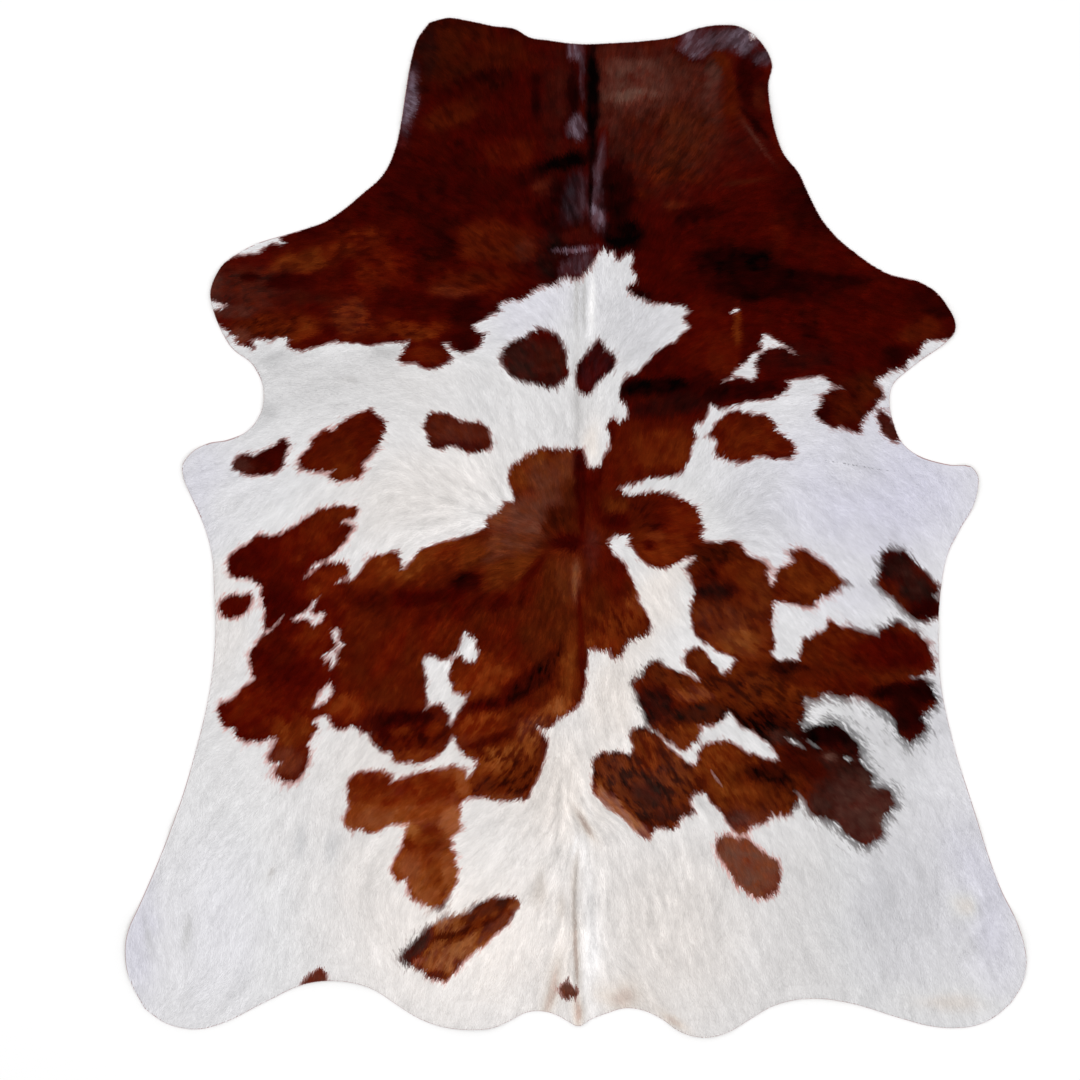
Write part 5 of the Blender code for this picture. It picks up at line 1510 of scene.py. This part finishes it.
def make_hair(hair, skin, survey):
    """The locks as closed four-sided spikes: wide and sunk into the undercoat at the root, with a low
    ridge near it, and narrowing to a tip that lies on the roots of the next locks."""
    roots, forward, length, width, chance = comb_locks(hair, survey)
    count = len(roots)
    spots = photo_spots(roots)
    ahead = forward * PHOTO_WAY
    aside = np.stack((-forward[:, 1], forward[:, 0]), axis=-1)
    bend = chance.uniform(-1, 1, (count, 1)) * hair.bend * length[:, None] * aside
    tips = roots + length[:, None] * forward + bend
    ridges = roots + RIDGE_PLACE * length[:, None] * forward
    half = width[:, None] / 2
    tuft = 0.5 + 0.5 * drawn_out(spots, ahead, TUFTS).clip(-TUFTS_MOST, TUFTS_MOST) / TUFTS_MOST

    skin_top = skin.leather + skin.undercoat
    root_height = fold_lift(roots) + skin_top - hair.sunk
    ridge_height = fold_lift(ridges) + skin_top + hair.ridge
    tip_height = fold_lift(tips) + skin_top + hair.tip * (TIP_LEAST + TIP_IN_TUFT * tuft)
    tip_height += hair.tip * TIP_CHANCE * chance.uniform(-1, 1, count)

    points = np.empty((count, 4, 3))
    points[:, LEFT, :2] = roots + half * aside
    points[:, RIGHT, :2] = roots - half * aside
    points[:, RIDGE, :2] = ridges
    points[:, TIP, :2] = tips
    points[:, LEFT, 2] = points[:, RIGHT, 2] = root_height
    points[:, RIDGE, 2] = ridge_height
    points[:, TIP, 2] = tip_height

    strands = drawn_out(spots, ahead, STRANDS).clip(-SHADE_MOST, SHADE_MOST)
    long_strands = drawn_out(spots, ahead, LONG_STRANDS).clip(-SHADE_MOST, SHADE_MOST)
    rough = survey.read("rough", spots)
    shade = SHADE_CHANCE * chance.standard_normal(count).clip(-SHADE_MOST, SHADE_MOST)
    shade += SHADE_STRANDS * strands * rough.clip(0, 1)
    shade += SHADE_LONG_STRANDS * long_strands * (rough - 1).clip(0, None)
    shades = shade[:, None] + CORNER_SHADES * hair.root_shade

    rim_shift = RIM_TUFTS_STRENGTH * drawn_out(spots, ahead, RIM_TUFTS)
    rim_shift += BROAD_RIM_TUFTS_STRENGTH * drawn_out(spots, ahead, BROAD_RIM_TUFTS)
    rim_shift = rim_shift.clip(-RIM_TUFTS_MOST, RIM_TUFTS_MOST)
    rim_shift += RIM_CHANCE * chance.uniform(-1, 1, count)
    rim_shift *= hair.fringe / PIXEL
    seen = photo_spots(roots + COLOUR_PLACE * length[:, None] * forward)
    values = survey.coat(seen, rim_shift[:, None] * ahead)
    feather = FEATHERS_CHANCE * chance.standard_normal(count)
    feather += FEATHERS_STRENGTH * drawn_out(spots, ahead, FEATHERS)
    values["way"] += feather * hair.feather / PIXEL
    values["halo"] *= (1 + hair.uneven_halo * feather).clip(HALO_LEAST, HALO_MOST)
    values = {name: np.repeat(value, 4) for name, value in values.items()}
    values["shade"] = shades.ravel()

    material = coat_material("lying hair", bpy.context.scene.cowhide_colours)
    pieces = []
    for name, some in zip(HAIR_NAMES, np.array_split(np.arange(count), len(HAIR_NAMES))):
        first = np.arange(len(some))[:, None, None] * 4
        faces = (LOCK_FACES[None] + first).reshape(-1, 3)
        piece_values = {key: value.reshape(-1, 4)[some].ravel() for key, value in values.items()}
        piece = new_piece(name, points[some].reshape(-1, 3), faces, (material,), piece_values)
        corners, side = lock_cells(len(some))
        net = corners[:, None, None] + NET_CORNERS[None] * side
        layer = piece.data.uv_layers.new(name="OFBake")
        layer.uv.foreach_set("vector", net.astype(np.float32).ravel())
        pieces.append(piece)
    return pieces


# ---------------------------------------------------------------------------------------------------
# Settings
# ---------------------------------------------------------------------------------------------------


def colour_setting(name, description, default):
    return FloatVectorProperty(
        name=name, description=description, default=default, min=0, max=1, size=3, subtype="COLOR",
    )


def length_setting(name, description, default, least=0):
    """A length in metres."""
    return FloatProperty(name=name, description=description, default=default, min=least, unit="LENGTH")


def part_setting(name, description, default, most=1):
    """A part of a whole, or a strength, from 0 up."""
    return FloatProperty(
        name=name, description=description, default=default, min=0, max=most, subtype="FACTOR",
    )


def number_setting(name, description, default, least=0, most=1000):
    """A plain number, whose unit the description names."""
    return FloatProperty(name=name, description=description, default=default, min=least, max=most)


class CowhideSkin(bpy.types.PropertyGroup):
    leather: length_setting("Leather", "Thickness of the tanned skin", 0.0025)
    undercoat: length_setting("Undercoat", "Depth of the dense hair right on the skin", 0.001)
    rim: length_setting("Rim", "Way in from the cut edge over which the undercoat thickens", 0.009)
    bevel: part_setting("Bevel", "Part of the leather that is worn off at the cut edge", 0.4)
    bevel_width: length_setting("Bevel width", "Width of the worn slope at the cut edge", 0.0012)
    bare_rim: length_setting("Bare rim", "Width of bare leather at the cut edge", 0.0026)


class CowhideHair(bpy.types.PropertyGroup):
    spacing: length_setting("Spacing", "Distance between the roots of two locks", 0.00425, least=0.003)
    length: length_setting("Length", "Length of a lock", 0.0135)
    width: length_setting("Width", "Width of a lock at its root", 0.0034)
    ridge: length_setting("Ridge", "Height of a lock's ridge over the undercoat", 0.0005)
    tip: length_setting("Tip", "Height of a lock's tip over the undercoat", 0.0017)
    sunk: length_setting("Sunk", "Depth of a lock's root in the undercoat", 0.0003)
    bare_edge: length_setting("Bare edge", "Least distance of a root from the cut edge", 0.0025)
    overhang: length_setting("Overhang", "Farthest reach of a tip past the cut edge", 0.0004)
    fringe: length_setting("Fringe", "How unevenly the locks end at the rim of a brown patch", 0.008)
    feather: length_setting("Feather", "How far single locks carry the brown past a patch's rim", 0.001)
    uneven_halo: part_setting(
        "Uneven halo", "How unlike the locks are in how far the brown thins out", 0.6,
    )
    swirl: number_setting(
        "Swirl", "How far neighbouring tufts turn from the combed way, in degrees", 10, most=45,
    )
    disorder: number_setting(
        "Disorder", "How far single locks turn from their tuft, in degrees", 7, most=45,
    )
    bend: part_setting("Bend", "Sideways bend of a lock as a part of its length", 0.05, most=0.5)
    # Painted shade: the root lies under the tips of the locks before it.
    root_shade: part_setting("Root shade", "How much darker a lock is at its root", 0.5, most=2)
    most_hollow: length_setting(
        "Most hollow", "How far a fold may bend away from a lock before that is made shorter", 0.00008,
    )
    chance: IntProperty(
        name="Chance", description="Number that sets every lock's own differences", default=7, min=0,
    )


class CowhideColours(bpy.types.PropertyGroup):
    white: colour_setting("White", "Plain white hair", (0.755, 0.748, 0.757))
    cream: colour_setting("Cream", "Warmest white hair", (0.775, 0.71, 0.66))
    tan: colour_setting("Tan", "Stained white hair", (0.62, 0.455, 0.385))
    lavender: colour_setting("Lavender", "Coolest white hair", (0.67, 0.66, 0.757))
    black: colour_setting("Black", "Darkest hair in the brown", (0.0014, 0.0003, 0.0003))
    dark_mahogany: colour_setting("Dark mahogany", "Second darkest brown", (0.0177, 0.0006, 0.0004))
    mahogany: colour_setting("Mahogany", "Deep reddish brown", (0.049, 0.0013, 0.0003))
    chestnut: colour_setting("Chestnut", "Middle brown", (0.0845, 0.0033, 0.0004))
    russet: colour_setting("Russet", "Light reddish brown", (0.137, 0.0112, 0.0013))
    ginger: colour_setting("Ginger", "Light orange brown", (0.227, 0.0375, 0.0058))
    pale_ginger: colour_setting("Pale ginger", "Lightest orange brown", (0.350, 0.0956, 0.029))
    olive: colour_setting("Olive", "What brown gains in olive, as parts of its red", (0.0, 0.09, 0.015))
    taupe: colour_setting("Taupe", "Greyish bloom on the brown", (0.130, 0.062, 0.045))
    # Painted sheen: the bluish reflection off dark hair, painted into its colour.
    lavender_sheen: colour_setting("Lavender sheen", "Bluish bloom on the brown", (0.190, 0.138, 0.178))
    halo: colour_setting("Halo", "Pinkish hair that thins out round a patch", (0.80, 0.34, 0.30))
    grey_halo: colour_setting("Grey halo", "Greyish hair thinning out round it", (0.05, 0.045, 0.045))
    cut_edge: colour_setting("Cut edge", "Bare leather at the cut edge", (0.40, 0.26, 0.26))
    suede: colour_setting("Suede", "Flesh side", (0.62, 0.56, 0.48))
    rim_width: number_setting(
        "Rim width", "Pixels over which a patch's rim turns from brown to white", 3.0, least=0.1,
    )
    halo_strength: part_setting(
        "Halo strength", "How much of the hair just outside a patch is brown", 0.72,
    )
    halo_pink: part_setting("Halo pink", "How far that hair turns to the halo's own colour", 0.85)
    white_range: part_setting(
        "White range", "How far the white hair gets lighter and darker", 0.15, most=0.5,
    )
    white_shade: part_setting(
        "White lock shade", "How far white locks differ in lightness", 0.075, most=0.5,
    )
    brown_shade: part_setting(
        "Brown lock shade", "How far brown locks differ in lightness", 0.14, most=0.8,
    )
    roughness: part_setting("Roughness", "Roughness of the hair", 0.65)
    gloss: part_setting("Gloss", "Strength of the hair's reflection", 0.003)


class CowhideStage(bpy.types.PropertyGroup):
    floor: colour_setting("Floor", "Colour of the floor", (0.94, 0.94, 0.94))
    floor_side: length_setting("Floor side", "Side of the square floor", 9.0)
    sky: number_setting("Surround", "Strength of the light from all round", 0.80)
    lamp: number_setting("Lamps", "Power of each of the two large lamps in watts", 48)
    lamp_side: length_setting("Lamp side", "Side of each square lamp", 3.0)
    lamp_height: length_setting("Lamp height", "Height of the lamps over the floor", 4.4)
    lens: number_setting("Lens", "Focal length of the camera in millimetres", 85, least=10)


# ---------------------------------------------------------------------------------------------------
# Operators and panel
# ---------------------------------------------------------------------------------------------------


class COWHIDE_OT_make_skin(bpy.types.Operator):
    """Make the leather with its undercoat"""
    bl_idname = "cowhide.make_skin"
    bl_label = "Make Skin"

    def execute(self, context):
        piece, area = make_skin(context.scene.cowhide_skin, survey_of_coat())
        hair = [item for item in bpy.data.objects if item.name.startswith("hair_")]
        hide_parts("cowhide")
        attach(piece, "root")
        return {"FINISHED"}


class COWHIDE_OT_comb_hair(bpy.types.Operator):
    """Comb the lying hair over the skin"""
    bl_idname = "cowhide.comb_hair"
    bl_label = "Comb Hair"

    def execute(self, context):
        for piece in make_hair(context.scene.cowhide_hair, context.scene.cowhide_skin, survey_of_coat()):
            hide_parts("cowhide")
            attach(piece, "root")
        return {"FINISHED"}


class COWHIDE_OT_set_stage(bpy.types.Operator):
    """Set the floor, the lamps and the camera straight above the hide"""
    bl_idname = "cowhide.set_stage"
    bl_label = "Set Stage"

    def execute(self, context):
        make_stage(context.scene, context.scene.cowhide_stage)
        return {"FINISHED"}


class COWHIDE_PT_panel(bpy.types.Panel):
    """The cowhide's pieces and settings"""
    bl_idname = "COWHIDE_PT_panel"
    bl_label = "Cowhide Rug"
    bl_space_type = "VIEW_3D"
    bl_region_type = "UI"
    bl_category = "Cowhide"

    def draw(self, context):
        layout = self.layout
        for title, settings, operator in PANEL_ROWS:
            box = layout.box()
            box.label(text=title)
            group = getattr(context.scene, settings)
            for name in group.__annotations__:
                box.prop(group, name)
            if operator:
                box.operator(operator)


PANEL_ROWS = (
    ("Hair", "cowhide_hair", "cowhide.comb_hair"),
    ("Skin", "cowhide_skin", "cowhide.make_skin"),
    ("Colours", "cowhide_colours", None),
    ("Stage", "cowhide_stage", "cowhide.set_stage"),
)

SETTINGS = {
    "cowhide_skin": CowhideSkin,
    "cowhide_hair": CowhideHair,
    "cowhide_colours": CowhideColours,
    "cowhide_stage": CowhideStage,
}
OPERATORS = (COWHIDE_OT_make_skin, COWHIDE_OT_comb_hair, COWHIDE_OT_set_stage)


LAMPS = (("lamp at the left", -2.0, 1.2), ("lamp at the right", 2.0, -1.0))  # with X and Y in metres
SENSOR_WIDTH = 36.0  # millimetres


def make_stage(scene, stage):
    """A pale floor, light from all round and from two large lamps, and a camera straight above the
    middle of the photograph, as far away as its lens needs to take in the photograph's width."""
    half = stage.floor_side / 2
    corners = np.array(((-half, -half, 0), (half, -half, 0), (half, half, 0), (-half, half, 0)))
    material, _ = new_material("floor", stage.floor, *FLOOR_FINISH)
    floor = new_piece("floor", corners, np.array(((0, 1, 2, 3),)), (material,), {})

    world = bpy.data.worlds.new("studio")
    world.use_nodes = True
    sky = world.node_tree.nodes["Background"]
    sky.inputs["Color"].default_value = (1, 1, 1, 1)
    sky.inputs["Strength"].default_value = stage.sky
    scene.world = world

    for name, x, y in LAMPS:
        light = bpy.data.lights.new(name, "AREA")
        light.shape = "SQUARE"
        light.size = stage.lamp_side
        light.energy = stage.lamp
        lamp = bpy.data.objects.new(name, light)
        lamp.location = (x, y, stage.lamp_height)
        lamp.rotation_euler = Vector((-x, -y, -stage.lamp_height)).to_track_quat("-Z", "Y").to_euler()
        scene.collection.objects.link(lamp)

    seen_side = PHOTO_SIDE * PIXEL
    middle = (PHOTO_MIDDLE - PHOTO_HIDE_MIDDLE) * PHOTO_WAY * PIXEL + HIDE_MIDDLE
    view = bpy.data.cameras.new("camera above")
    view.lens = stage.lens
    view.sensor_width = SENSOR_WIDTH
    camera = bpy.data.objects.new("camera above", view)
    camera.location = (middle[0], middle[1], seen_side * view.lens / view.sensor_width)
    scene.collection.objects.link(camera)
    scene.camera = camera
    scene.view_settings.view_transform = "Standard"


def register():
    for kind in (*SETTINGS.values(), *OPERATORS, COWHIDE_PT_panel):
        bpy.utils.register_class(kind)
    for name, kind in SETTINGS.items():
        setattr(bpy.types.Scene, name, PointerProperty(type=kind))


def unregister():
    for name in SETTINGS:
        delattr(bpy.types.Scene, name)
    for kind in (COWHIDE_PT_panel, *OPERATORS, *SETTINGS.values()):
        bpy.utils.unregister_class(kind)


def main():
    register()
    bpy.ops.cowhide.comb_hair()
    bpy.ops.cowhide.make_skin()
    bpy.ops.cowhide.set_stage()


if __name__ == "__main__":
    main()
